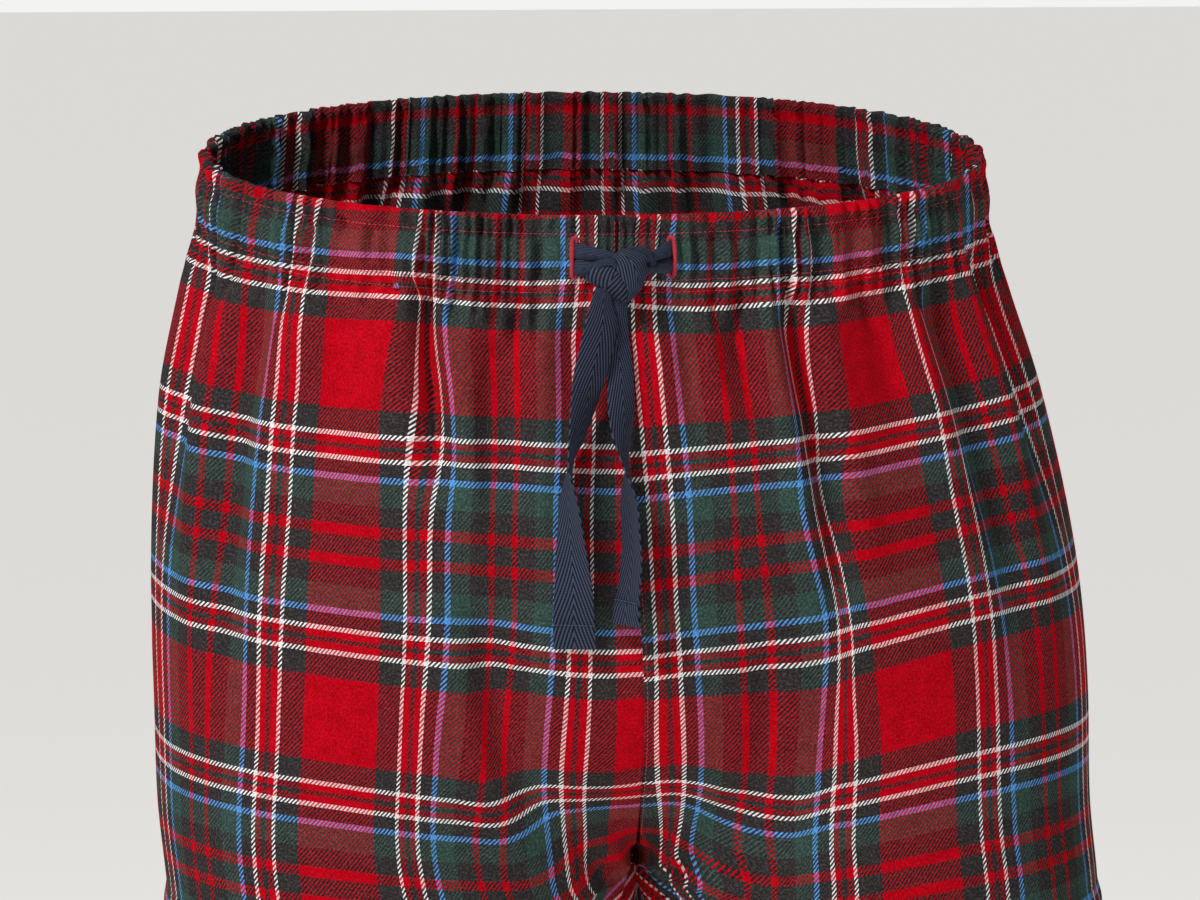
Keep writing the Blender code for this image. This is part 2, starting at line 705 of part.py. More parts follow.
def add_knot(colour):
    """An overhand knot: a lump with one band of the tape lying over it on the slant."""
    across, drop = KNOT_MIDDLE
    base = casing_front(0.0, drop)
    middle = Vector((across, base.y - KNOT_OFF_CASING, front_top() - drop))
    around, rings_count = KNOT_AROUND, KNOT_RINGS
    points = [middle + Vector((0.0, 0.0, KNOT_HALF[2]))]
    for ring in range(1, rings_count):
        polar = math.pi * ring / rings_count
        for step in range(around):
            turn = 2 * math.pi * step / around
            direction = Vector((
                math.sin(polar) * math.cos(turn),
                -math.sin(polar) * math.sin(turn),
                math.cos(polar),
            ))
            slant = direction.x * BAND_LIES[0] + direction.z * BAND_LIES[1]
            band = ease((BAND_HALF - abs(slant)) / 0.14) * ease((0.3 - direction.y) / 0.4)
            swell = 0.90 + 0.16 * band + 0.05 * direction.x
            points.append(middle + Vector([d * h * swell for d, h in zip(direction, KNOT_HALF)]))
    points.append(middle - Vector((0.0, 0.0, KNOT_HALF[2])))
    faces = []
    last = len(points) - 1
    for step in range(around):
        after = (step + 1) % around
        faces.append((0, 1 + after, 1 + step))
        base_ring = 1 + (rings_count - 2) * around
        faces.append((last, base_ring + step, base_ring + after))
        for ring in range(rings_count - 2):
            low, high = 1 + ring * around, 1 + (ring + 1) * around
            faces.append((low + step, low + after, high + after, high + step))
    return add_object("tape_knot", points, faces, colour, roughness=0.85)


# ---- build -----------------------------------------------------------------------------------------
for old in list(bpy.data.objects):
    bpy.data.objects.remove(old, do_unlink=True)

RED_TARTAN = (0.42, 0.02, 0.03)
NAVY_TAPE = (0.035, 0.042, 0.085)

add_casing(RED_TARTAN)
add_panels(1, "left", RED_TARTAN)
add_panels(-1, "right", RED_TARTAN)
add_knot(NAVY_TAPE)
add_run("tape_run_left", BUTTONHOLE_ACROSS["left"], KNOT_LEFT_EDGE, NAVY_TAPE)
add_run("tape_run_right", BUTTONHOLE_ACROSS["right"], KNOT_RIGHT_EDGE, NAVY_TAPE)
add_tail("tape_tail_left", TAILS["left"], NAVY_TAPE)
add_tail("tape_tail_right", TAILS["right"], NAVY_TAPE)
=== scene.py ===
"""Pyjama trousers for a man, size M, in brushed tartan cotton: the finished cloth, sewing and drawcord.

Laid out as a Blender add-on and run as a script. Metres, +Z up. The front faces -Y, the wearer's left is
at +X and the origin is the middle of the waist opening. A drop is a depth below that opening. A share is
how far round one half of the girth a point lies, from 0 at the centre front (or the inseam) to 1 at the
centre back. Side 1 is the wearer's left half and side -1 the right.
"""

import functools
import math

import bmesh
import bpy
import numpy as np
from bpy.props import FloatProperty, FloatVectorProperty, PointerProperty
from mathutils import Matrix, Vector


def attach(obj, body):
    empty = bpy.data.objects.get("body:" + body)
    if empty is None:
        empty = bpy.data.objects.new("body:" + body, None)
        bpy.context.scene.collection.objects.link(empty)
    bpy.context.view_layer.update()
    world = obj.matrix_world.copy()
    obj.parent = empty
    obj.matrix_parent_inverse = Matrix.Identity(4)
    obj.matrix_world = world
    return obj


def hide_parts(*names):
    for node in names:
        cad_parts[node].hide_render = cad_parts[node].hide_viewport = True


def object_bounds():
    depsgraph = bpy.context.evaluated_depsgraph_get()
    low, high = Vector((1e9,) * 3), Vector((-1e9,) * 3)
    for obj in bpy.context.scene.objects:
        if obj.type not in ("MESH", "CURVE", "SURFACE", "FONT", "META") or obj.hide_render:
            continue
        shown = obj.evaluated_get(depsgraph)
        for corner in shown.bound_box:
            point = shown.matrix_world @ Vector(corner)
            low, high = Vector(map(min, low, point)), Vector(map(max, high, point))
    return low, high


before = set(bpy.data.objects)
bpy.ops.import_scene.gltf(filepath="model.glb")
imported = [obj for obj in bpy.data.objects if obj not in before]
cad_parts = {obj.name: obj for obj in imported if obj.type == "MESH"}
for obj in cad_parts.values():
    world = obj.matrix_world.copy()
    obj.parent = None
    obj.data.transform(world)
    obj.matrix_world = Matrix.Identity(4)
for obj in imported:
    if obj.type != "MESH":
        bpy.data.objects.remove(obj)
CAD_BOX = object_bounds()

bl_info = {
    "name": "Pyjama Trousers",
    "version": (1, 0, 0),
    "blender": (4, 5, 0),
    "location": "View3D > Sidebar > Pyjamas",
    "description": "Tartan pyjama trousers with an elastic waist and a tape drawcord",
    "category": "Object",
}

MM = 0.001


def linear(hex_colour):
    """An sRGB hex colour as linear red, green and blue."""
    parts = [int(hex_colour[at:at + 2], 16) / 255 for at in (1, 3, 5)]
    return tuple(c / 12.92 if c <= 0.04045 else ((c + 0.055) / 1.055) ** 2.4 for c in parts)


def colour_property(name, hex_colour, description):
    return FloatVectorProperty(
        name=name, description=description, subtype="COLOR", min=0.0, max=1.0, default=linear(hex_colour)
    )


def size_property(name, millimetres, description):
    return FloatProperty(name=name, description=description, unit="LENGTH", default=millimetres * MM)


class TrouserSizes(bpy.types.PropertyGroup):
    """Sizes of the cloth and the sewing that a user would change."""

    cloth: size_property("Cloth", 1.2, "Thickness of the brushed cotton")
    hem: size_property("Hem", 2.6, "Thickness where the leg's hem is turned twice")
    twill: size_property("Twill repeat", 2.0, "One repeat of the twill across; it is longer down")
    stitch_pitch: size_property("Stitch pitch", 2.4, "From one stitch to the next")
    stitch_length: size_property("Stitch length", 1.75, "How much of each stitch shows")
    thread: size_property("Thread", 0.42, "Thickness of the sewing thread")
    tape_rib: size_property("Tape rib", 1.7, "From one rib of the tape to the next, across the tape")


class TrouserColours(bpy.types.PropertyGroup):
    """Colours of the yarns, the thread and the tape."""

    red: colour_property("Red yarn", "#C4041A", "The ground's red")
    charcoal: colour_property("Charcoal yarn", "#353132", "The ground's near black")
    green: colour_property("Green yarn", "#37514A", "Bottle green")
    white: colour_property("White yarn", "#FBF7F7", "The paired overcheck lines")
    blue: colour_property("Blue yarn", "#5B9FE8", "The single overcheck line")
    thread: colour_property("Sewing thread", "#D82440", "All sewing on the cloth")
    tape: colour_property("Tape", "#475068", "The drawcord's navy")
    # painted shade in the furrows between the tape's ribs
    tape_shadow: colour_property("Tape furrow", "#12131C", "Between the tape's ribs")
    floor: colour_property("Floor", "#E9E7E4", "The studio floor")


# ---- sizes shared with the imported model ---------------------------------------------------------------
WAIST_TILT = math.radians(9.0)
TILT_FADES_AT = 0.26
CASING_HEIGHT = 36.5 * MM
BEND_DROP = 0.205
CROTCH_DROP = 0.328
THIGH_DROP = 0.338
LEG_FORM_FROM = 0.15
LEG_FORM_BY = 0.42
HEM_DROP = 1.05
HEM_HEIGHT = 22 * MM
HEM_STITCH_DROP = HEM_DROP - HEM_HEIGHT + 1.5 * MM
SIDE_SHARE = 0.48
SEAMS = (0.0, SIDE_SHARE, 1.0)           # their shares
SEAM_REACH = 0.25
GATHERS_PER_HALF = 29
GATHER_DEPTH = 1.2 * MM
FLAT_AT_BUTTONHOLES = 30 * MM
EASE_OFF_OVER = 20 * MM
LIP_AWAY = 1.7                           # half widths from a fold's or crease's bottom to its lips
FOLD_LIPS = 0.45                         # the lips' height to the depth
CREASE_LIPS = 0.25
FOLD_FADES = (0.15, 0.60)                # shares of a fold's length over which it starts and ends
CREASE_FADES = (0.25, 0.50)
FOLDS_FADE_NEAR_SEAMS = 22 * MM

BODY = [
    # drop, half width, front depth, back depth, power
    (0.000, 0.180, 0.120, 0.122, 2.10),
    (0.040, 0.184, 0.122, 0.126, 2.12),
    (0.110, 0.202, 0.126, 0.135, 2.22),
    (0.205, 0.216, 0.127, 0.138, 2.35),
    (0.330, 0.218, 0.125, 0.130, 2.40),
]
LEG = [
    # drop, inner side, outer side, centre depth, half depth, power
    (0.328, 0.0000, 0.2165, -0.010, 0.1150, 2.35),
    (0.336, 0.0042, 0.2175, -0.010, 0.1140, 2.35),
    (0.360, 0.0110, 0.2195, -0.010, 0.1120, 2.30),
    (0.440, 0.0280, 0.2195, -0.010, 0.1040, 2.25),
    (0.540, 0.0390, 0.2165, -0.010, 0.0965, 2.20),
    (0.660, 0.0480, 0.2130, -0.008, 0.0895, 2.20),
    (0.860, 0.0590, 0.2105, 0.002, 0.0820, 2.20),
    (1.050, 0.0680, 0.2095, 0.012, 0.0770, 2.20),
]
SWAY = [
    # drop, across
    (0.000, 0.000),
    (0.060, 0.000),
    (0.205, 0.0105),
    (0.250, 0.0126),
    (0.300, 0.0136),
    (0.350, 0.0178),
    (1.050, 0.0205),
]
FOLDS = [
    # side, top share, top drop, low share, low drop, half width, depth
    (-1, 0.042, 0.028, 0.045, 0.110, 0.0075, 0.0022),
    (-1, 0.096, 0.028, 0.104, 0.210, 0.0090, 0.0042),
    (-1, 0.184, 0.028, 0.146, 0.150, 0.0080, 0.0100),
    (-1, 0.250, 0.028, 0.246, 0.150, 0.0110, 0.0036),
    (-1, 0.340, 0.028, 0.352, 0.290, 0.0120, 0.0070),
    (-1, 0.425, 0.028, 0.418, 0.190, 0.0110, 0.0050),
    (-1, 0.520, 0.028, 0.512, 0.230, 0.0120, 0.0060),
    (-1, 0.600, 0.028, 0.606, 0.160, 0.0110, 0.0045),
    (-1, 0.690, 0.028, 0.684, 0.250, 0.0120, 0.0065),
    (-1, 0.770, 0.028, 0.772, 0.150, 0.0100, 0.0040),
    (-1, 0.850, 0.028, 0.842, 0.220, 0.0120, 0.0060),
    (-1, 0.935, 0.028, 0.935, 0.140, 0.0100, 0.0036),
    (1, 0.062, 0.028, 0.066, 0.130, 0.0080, 0.0026),
    (1, 0.108, 0.028, 0.112, 0.120, 0.0080, 0.0050),
    (1, 0.163, 0.028, 0.170, 0.230, 0.0080, 0.0104),
    (1, 0.250, 0.028, 0.246, 0.150, 0.0110, 0.0040),
    (1, 0.318, 0.028, 0.330, 0.260, 0.0120, 0.0085),
    (1, 0.405, 0.028, 0.398, 0.180, 0.0110, 0.0050),
    (1, 0.500, 0.028, 0.512, 0.240, 0.0120, 0.0062),
    (1, 0.585, 0.028, 0.580, 0.170, 0.0110, 0.0045),
    (1, 0.665, 0.028, 0.672, 0.220, 0.0120, 0.0062),
    (1, 0.750, 0.028, 0.742, 0.160, 0.0100, 0.0042),
    (1, 0.830, 0.028, 0.838, 0.250, 0.0120, 0.0062),
    (1, 0.925, 0.028, 0.922, 0.150, 0.0100, 0.0036),
    # the hip and the legs
    (-1, 0.118, 0.170, 0.112, 0.330, 0.0150, 0.0045),
    (-1, 0.100, 0.330, 0.260, 0.700, 0.0260, 0.0090),
    (-1, 0.420, 0.360, 0.300, 0.900, 0.0240, 0.0080),
    (-1, 0.640, 0.330, 0.760, 0.800, 0.0280, 0.0100),
    (-1, 0.880, 0.420, 0.620, 0.980, 0.0240, 0.0080),
    (-1, 0.180, 0.760, 0.360, 1.040, 0.0220, 0.0080),
    (1, 0.080, 0.330, 0.220, 0.620, 0.0260, 0.0090),
    (1, 0.380, 0.340, 0.330, 0.820, 0.0240, 0.0085),
    (1, 0.660, 0.340, 0.720, 0.860, 0.0280, 0.0100),
    (1, 0.900, 0.400, 0.700, 0.960, 0.0240, 0.0080),
    (1, 0.150, 0.700, 0.300, 1.040, 0.0220, 0.0080),
]
CASING_OUTSIDE = [
    # drop down the casing, stands out, share of the gathers' depth
    (0.0 * MM, -1.2 * MM, 0.50),
    (2.2 * MM, 0.1 * MM, 0.80),
    (8.5 * MM, -0.8 * MM, 0.60),
    (18.0 * MM, 0.4 * MM, 1.00),
    (29.5 * MM, -0.8 * MM, 0.70),
    (CASING_HEIGHT, -0.3 * MM, 0.90),
]

# ---- finer form, laid on the cloth ----------------------------------------------------------------------
CASING_STITCH_DROPS = (8.5 * MM, 30.0 * MM, 35.4 * MM)
CREASES = [
    # side, top share, top drop, low share, low drop, half width, depth: short creases and puckers
    (-1, 0.262, 0.006, 0.257, 0.017, 0.0020, 0.0032),
    (-1, 0.231, 0.008, 0.229, 0.030, 0.0022, 0.0041),
    (-1, 0.109, 0.009, 0.110, 0.034, 0.0021, 0.0041),
    (-1, 0.071, 0.010, 0.072, 0.036, 0.0021, 0.0036),
    (-1, 0.200, 0.004, 0.203, 0.028, 0.0022, 0.0028),
    (-1, 0.150, 0.012, 0.152, 0.034, 0.0022, 0.0024),
    (-1, 0.290, 0.010, 0.288, 0.034, 0.0022, 0.0032),
    (1, 0.061, 0.009, 0.060, 0.030, 0.0020, 0.0024),
    (1, 0.074, 0.008, 0.075, 0.030, 0.0021, 0.0032),
    (1, 0.093, 0.006, 0.092, 0.032, 0.0020, 0.0026),
    (1, 0.111, 0.008, 0.112, 0.030, 0.0020, 0.0024),
    (1, 0.139, 0.006, 0.137, 0.034, 0.0021, 0.0034),
    (1, 0.154, 0.004, 0.155, 0.028, 0.0019, 0.0022),
    (1, 0.171, 0.008, 0.173, 0.034, 0.0021, 0.0032),
    (1, 0.195, 0.008, 0.196, 0.034, 0.0023, 0.0038),
    (1, 0.216, 0.004, 0.213, 0.030, 0.0020, 0.0026),
    (1, 0.232, 0.006, 0.234, 0.030, 0.0019, 0.0024),
    (1, 0.257, 0.008, 0.259, 0.034, 0.0022, 0.0034),
    (-1, 0.125, 0.001, 0.126, 0.011, 0.0016, 0.0020),
    (-1, 0.097, 0.001, 0.096, 0.012, 0.0016, 0.0022),
    (-1, 0.086, 0.001, 0.087, 0.010, 0.0015, 0.0018),
    (-1, 0.058, 0.001, 0.059, 0.011, 0.0016, 0.0020),
    (-1, 0.048, 0.009, 0.047, 0.032, 0.0019, 0.0026),
    (-1, 0.180, 0.010, 0.181, 0.034, 0.0022, 0.0034),
    (-1, 0.144, 0.032, 0.143, 0.060, 0.0031, 0.0034),
    (-1, 0.110, 0.032, 0.110, 0.056, 0.0026, 0.0034),
    (-1, 0.091, 0.032, 0.090, 0.066, 0.0031, 0.0052),
    (-1, 0.072, 0.036, 0.073, 0.062, 0.0026, 0.0034),
    (-1, 0.228, 0.030, 0.229, 0.052, 0.0028, 0.0030),
    (-1, 0.247, 0.030, 0.247, 0.046, 0.0024, 0.0026),
    (-1, 0.212, 0.030, 0.211, 0.044, 0.0024, 0.0022),
    (1, 0.089, 0.030, 0.090, 0.058, 0.0028, 0.0034),
    (1, 0.115, 0.030, 0.116, 0.060, 0.0028, 0.0037),
    (1, 0.200, 0.030, 0.201, 0.050, 0.0028, 0.0026),
    (1, 0.239, 0.030, 0.240, 0.062, 0.0031, 0.0034),
    (1, 0.276, 0.030, 0.278, 0.052, 0.0028, 0.0026),
    (-1, 0.126, 0.190, 0.137, 0.285, 0.0085, 0.0034),
    (1, 0.100, 0.200, 0.120, 0.290, 0.0090, 0.0024),
    (1, 0.093, 0.045, 0.097, 0.092, 0.0042, 0.0020),
    (1, 0.108, 0.045, 0.116, 0.094, 0.0042, 0.0022),
    (1, 0.060, 0.055, 0.061, 0.096, 0.0050, 0.0016),
    (-1, 0.114, 0.050, 0.115, 0.172, 0.0040, 0.0018),
    # fullness beside the inseams: ridges, so their depth is negative
    (-1, 0.040, 0.262, 0.052, 0.450, 0.0150, -0.0055),
    (1, 0.040, 0.262, 0.052, 0.450, 0.0150, -0.0055),
]
LEANS = [
    # side, top share, top drop, low share, low drop, lip from the fold's bottom, half width, leans over
    (-1, 0.184, 0.028, 0.146, 0.150, 0.0095, 0.0090, 0.0052),
    (1, 0.163, 0.028, 0.170, 0.230, 0.0080, 0.0060, 0.0040),
]
LEAN_FADES = (0.10, 0.55)
SEAM_GROOVE = (0.45 * MM, 1.0 * MM)      # depth and half width
HEM_GROOVE = (0.6 * MM, 4 * MM)
LEG_GAP = [
    # drop, half the width of the dark gap between the legs, under the front's rise
    (0.312, 3.6 * MM),
    (0.318, 4.2 * MM),
    (0.327, 6.0 * MM),
    (0.336, 8.0 * MM),
    (0.360, 9.0 * MM),
]
LEG_GAP_DEEP = 20 * MM
LEG_GAP_EDGE = 1.6 * MM
LEG_GAP_OPENS = (0.3140, 0.0035)         # from which drop, and over how much
LEG_GAP_SHUTS = (0.326, 0.012)
LEG_GAP_BEHIND = (-0.01, 0.03)           # how far in front of the middle (-y) it starts, and over how much

# ---- the cut: where the cloth's checks lie --------------------------------------------------------------
CHECK_AT_CENTRE_FRONT = {
    # side: drop, from the middle of the big red block to the seam
    -1: [(0.000, 19.1 * MM), (0.100, 14.1 * MM), (0.147, 10.6 * MM), (0.205, 6.8 * MM)],
    1: [(0.000, 20.6 * MM), (0.040, 23.2 * MM), (0.130, 23.6 * MM), (0.205, 25.1 * MM)],
}
CHECK_AT_CENTRE_BACK = 14 * MM
CHECK_ABOVE_FIRST_BLOCK = 77.1 * MM      # of cloth, from the waist's fold to the middle of a red block
LEGS_HANG_LEVEL = (0.30, 0.25)           # from which drop their checks do, and over how much
# The waist's elastic and the wearer pull the front's cloth about. These are the millimetres by which
# its checks lie further across, and further down the cloth, than plain hanging would put them.
DRAPE_SHARES = (0.0, 0.035, 0.085, 0.155, 0.190, 0.290, 0.480)
DRAPE_ACROSS = {
    -1: [
        # drop, at each share
        (0.000, 0.0, 2.5, 2.5, -1.5, 1.0, 5.0, 0.0),
        (0.045, 0.0, 5.0, 5.5, 2.6, -3.5, 1.0, 0.0),
        (0.090, 0.0, 6.0, 9.0, 9.0, -2.2, 9.0, 0.0),
        (0.140, 0.0, 3.0, 6.5, 8.4, 6.2, 14.0, 0.0),
        (0.200, 0.0, 1.5, 4.5, 6.4, 5.5, 9.6, 0.0),
        (0.260, 0.0, -3.0, -5.0, -2.5, -3.6, 3.6, 0.0),
        (0.310, 0.0, 0.0, 1.5, -6.0, -8.0, -1.0, 0.0),
        (0.380, 0.0, 0.0, 0.0, 0.0, 0.0, 0.0, 0.0),
    ],
    1: [
        (0.000, 0.0, -1.8, -3.0, -9.5, -7.0, -5.0, 0.0),
        (0.045, 0.0, 0.4, -1.0, -9.0, -13.5, -4.0, 0.0),
        (0.090, 0.0, 0.5, 1.0, -1.5, -8.4, -2.0, 0.0),
        (0.140, 0.0, 0.0, 1.0, 3.0, 1.5, 0.0, 0.0),
        (0.200, 0.0, 0.3, 0.0, -7.5, 2.0, 0.0, 0.0),
        (0.260, 0.0, -3.0, -2.0, -4.6, -3.0, 0.0, 0.0),
        (0.310, 0.0, 5.0, 8.0, -3.0, -1.5, 0.0, 0.0),
        (0.380, 0.0, 0.0, 0.0, 0.0, 0.0, 0.0, 0.0),
    ],
}
DRAPE_DOWN = {
    -1: [
        (0.000, 8.0, 6.5, 5.0, 5.3, 5.4, 3.0, 0.0),
        (0.045, 8.0, 7.0, 6.0, 6.8, 7.6, 4.8, 1.0),
        (0.115, 3.5, 3.9, 4.9, 5.3, 4.5, 3.6, 2.0),
        (0.205, -1.0, -1.0, 0.6, 2.4, 2.2, 3.2, 2.0),
        (0.255, 0.0, -1.5, 1.0, -4.0, -2.5, 0.5, 1.0),
        (0.280, 7.0, 12.5, 9.0, -4.5, -3.0, 1.5, 1.0),
        (0.380, 0.0, 0.0, 0.0, -2.0, -1.0, 0.5, 0.0),
    ],
    1: [
        (0.000, 7.0, 5.0, 3.2, 3.7, 2.4, 2.8, 0.0),
        (0.045, 7.0, 5.5, 4.2, 5.0, 4.0, 5.0, 1.0),
        (0.115, 0.0, 1.2, 2.3, 3.3, 3.6, 5.6, 2.0),
        (0.205, -4.6, -2.4, -0.8, 1.2, 4.2, 8.8, 2.0),
        (0.255, 0.0, 2.5, -2.0, -4.5, 1.0, 7.5, 1.5),
        (0.280, 6.0, 13.5, 2.5, -4.0, 0.5, 6.5, 1.0),
        (0.380, 0.0, 0.0, 0.0, -1.0, 0.0, 2.0, 0.0),
    ],
}
EASE_ROUND_HIP = 1.02                    # cloth to form
EASE_ROUND_LEG = 1.01
TWILL_LONGER_DOWN = 1.18                 # a repeat's length down to its width across

WARP = [
    # ends at, from the middle of the red block, in millimetres, and the yarn
    (19.1, "red"), (30.3, "charcoal"), (32.3, "white"), (35.4, "red"), (37.8, "charcoal"),
    (40.9, "red"), (42.9, "white"), (48.7, "charcoal"), (51.4, "blue"), (60.8, "green"),
    (69.4, "charcoal"), (72.3, "red"), (76.7, "charcoal"),
]
WEFT = [
    (19.1, "red"), (28.8, "charcoal"), (30.9, "white"), (34.1, "red"), (36.3, "charcoal"),
    (39.5, "red"), (41.6, "white"), (47.5, "charcoal"), (50.2, "blue"), (60.6, "green"),
    (69.8, "charcoal"), (74.5, "red"), (79.1, "charcoal"),
]

# ---- the drawcord ---------------------------------------------------------------------------------------
TAPE_WIDTH = 18.8 * MM
TAPE_THICK = 1.4 * MM
TAPE_HEM = 11 * MM
TAPE_HEM_THICK = 2.4 * MM
TAPE_CUP = 0.8 * MM
BUTTONHOLE_DROP = 19.3 * MM
BUTTONHOLE_HEIGHT = 19 * MM
BUTTONHOLE_ACROSS = {"right": -19.0 * MM, "left": 24.4 * MM}
TAILS = {
    "right": [
        # across, drop and standing off the cloth in mm, twist in degrees from lying flat, share of the width
        (-6.6, 31.5, 7.6, -22.0, 0.44),
        (-7.9, 36.5, 9.5, -25.0, 0.54),
        (-8.8, 49.5, 12.4, -27.0, 0.90),
        (-13.0, 67.3, 13.6, -30.0, 0.96),
        (-15.6, 80.6, 11.5, -44.0, 0.98),
        (-19.4, 98.4, 11.0, -64.0, 1.0),
        (-22.7, 111.0, 11.0, -84.0, 1.0),
        (-22.8, 125.0, 10.5, -108.0, 1.0),
        (-22.1, 140.0, 9.5, -122.0, 1.0),
        (-20.6, 165.5, 6.8, -147.0, 1.0),
        (-20.3, 180.5, 4.4, -164.0, 1.0),
        (-19.8, 193.3, 3.6, -170.0, 1.0),
    ],
    "left": [
        (1.0, 32.5, 4.4, -8.0, 0.36),
        (0.4, 37.5, 4.4, -8.0, 0.42),
        (-1.6, 49.5, 4.4, -14.0, 0.66),
        (0.4, 67.3, 4.8, -12.0, 0.64),
        (0.8, 80.6, 7.0, -26.0, 0.72),
        (1.0, 98.4, 10.5, -62.0, 1.0),
        (2.4, 111.0, 11.0, -82.0, 1.0),
        (3.8, 125.0, 11.0, -106.0, 1.0),
        (4.8, 140.0, 10.5, -109.0, 1.0),
        (5.0, 152.0, 10.5, -113.0, 1.0),
        (4.0, 164.0, 10.5, -115.0, 1.0),
        (2.8, 174.0, 10.0, -121.0, 1.0),
        (2.6, 182.0, 10.0, -125.0, 1.0),
    ],
}


# ---- arithmetic -----------------------------------------------------------------------------------------
def ease(value):
    """0 below 0, 1 above 1, and a smooth step between."""
    value = np.clip(value, 0.0, 1.0)
    return value * value * (3.0 - 2.0 * value)


def profile(table, drop):
    """The table's other columns at each drop, on a smooth curve through its rows."""
    rows = np.array(table, float)
    drops, values = rows[:, 0], rows[:, 1:]
    slopes = np.empty_like(values)
    slopes[1:-1] = (values[2:] - values[:-2]) / (drops[2:] - drops[:-2])[:, None]
    slopes[0] = (values[1] - values[0]) / (drops[1] - drops[0])
    slopes[-1] = (values[-1] - values[-2]) / (drops[-1] - drops[-2])
    drop = np.asarray(drop, float)
    low = np.clip(np.searchsorted(drops, drop, side="right") - 1, 0, len(drops) - 2)
    span = (drops[low + 1] - drops[low])[..., None]
    t = np.clip((drop - drops[low])[..., None] / span, 0.0, 1.0)
    return (
        (2 * t**3 - 3 * t**2 + 1) * values[low]
        + (t**3 - 2 * t**2 + t) * slopes[low] * span
        + (3 * t**2 - 2 * t**3) * values[low + 1]
        + (t**3 - t**2) * slopes[low + 1] * span
    )


def rounded(angle, power):
    """A superellipse's cosine and sine."""
    cosine, sine = np.cos(angle), np.sin(angle)
    return (
        np.sign(cosine) * np.abs(cosine) ** (2 / power),
        np.sign(sine) * np.abs(sine) ** (2 / power),
    )


def ramp(value, start, over):
    """0 up to a start, and a smooth rise to 1 over a stretch."""
    return ease((value - start) / over)


def bell(distance):
    """1 at 0, falling smoothly to next to nothing at 2."""
    return np.exp(-distance * distance)


def unit(vectors):
    return vectors / np.maximum(np.linalg.norm(vectors, axis=-1, keepdims=True), 1e-12)


def running_total(steps, axis=0):
    """The sum of the steps up to each place, from 0."""
    total = np.cumsum(steps, axis=axis)
    return np.concatenate([np.zeros_like(np.take(total, [0], axis=axis)), total], axis=axis)


def reach_along(points, axis=0):
    """How far along the lines of a grid each point lies."""
    return running_total(np.linalg.norm(np.diff(points, axis=axis), axis=-1), axis)


FINE_STEPS = 720


class Girths:
    """Lines round one half of the garment, one for each drop, read by their share of the length."""

    def __init__(self, x, y):
        self.lines = x, y
        self.along = running_total(np.hypot(np.diff(x, axis=1), np.diff(y, axis=1)), axis=1)
        self.length = self.along[:, -1]

    def at(self, shares):
        reach = np.clip(shares, 0.0, 1.0) * self.length[:, None]
        return [
            np.array([np.interp(r, a, line) for r, a, line in zip(reach, self.along, lines)])
            for lines in self.lines
        ]


def body_girths(drops):
    half_width, front, back, power = profile(BODY, drops).T[..., None]
    turn = math.pi * (np.arange(FINE_STEPS + 1) / FINE_STEPS - 0.5)
    cosine, sine = rounded(turn[None, :], power)
    return Girths(half_width * np.abs(cosine), np.where(sine < 0, front, back) * sine)


def leg_girths(drops):
    inner, outer, deep, half_depth, power = profile(LEG, drops).T[..., None]
    turn = math.pi * (2 * np.arange(FINE_STEPS + 1) / FINE_STEPS - 1)
    cosine, sine = rounded(turn[None, :], power)
    return Girths((inner + outer) / 2 + (outer - inner) / 2 * cosine, deep + half_depth * sine)


def front_depth(across, drop):
    """The depth (y) of the plain front at a distance from the centre front, at each drop."""
    across, drop = np.broadcast_arrays(np.asarray(across, float), np.asarray(drop, float))
    girths = body_girths(drop.ravel())
    shares = (np.abs(across.ravel()) / girths.length)[:, None]
    return girths.at(shares)[1][:, 0].reshape(across.shape)


@functools.cache
def front_top():
    return float(front_depth(0.0, 0.0)) * math.tan(WAIST_TILT)


def before_front(across, drop, off):
    """Points that stand off the plain front."""
    return np.stack([across, front_depth(across, drop) - off, front_top() - drop], axis=1)


# ---- the cloth of one half, from the waist's fold to the hem ---------------------------------------------
CASING_ROWS = 27
CASING_ROWS_CROWD_UP = 1.3           # the power by which they lie closer together near the waist's fold
BODY_STEP = 2.0 * MM
CROTCH_STEP = 1.9 * MM
LEG_STEP = 7.0 * MM
FRONT_COLUMNS = 281                  # odd, because the inside has every second one
BACK_COLUMNS = 159
CROWDING = 1.6                       # how many more columns lie at the seams and the deep folds
CROWDED = 0.008                      # half width of such a place, as a share; a fold's is wider
CROWDED_AT_FOLD = 0.028


def cloth_rows():
    """(drop at the side, drop at the seams, how far the half girth has closed into a leg) of each row.
    The first CASING_ROWS lie on the casing, and an odd number follow."""
    down = CASING_HEIGHT * np.linspace(0.0, 1.0, CASING_ROWS) ** CASING_ROWS_CROWD_UP
    body = np.linspace(CASING_HEIGHT, BEND_DROP, round((BEND_DROP - CASING_HEIGHT) / BODY_STEP) + 1)[1:]
    upper = np.concatenate([down, body])
    t = np.linspace(0.0, 1.0, round((THIGH_DROP - BEND_DROP) / CROTCH_STEP) + 1)[1:]
    turn = math.pi / 2 * t
    leg = np.linspace(THIGH_DROP, HEM_DROP, round((HEM_DROP - THIGH_DROP) / LEG_STEP) + 1)[1:]
    if (len(body) + len(t) + len(leg)) % 2:
        leg = np.linspace(THIGH_DROP, HEM_DROP, len(leg) + 2)[1:]
    side_drop = np.concatenate([upper, BEND_DROP + (THIGH_DROP - BEND_DROP) * t, leg])
    seam_drop = np.concatenate([upper, BEND_DROP + (CROTCH_DROP - BEND_DROP) * np.sin(turn), leg])
    crotch = 1.0 - np.cos(turn)
    crotch[-1] = 1.0
    closed = np.concatenate([np.zeros(len(upper)), crotch, np.ones(len(leg))])
    return side_drop, seam_drop, closed


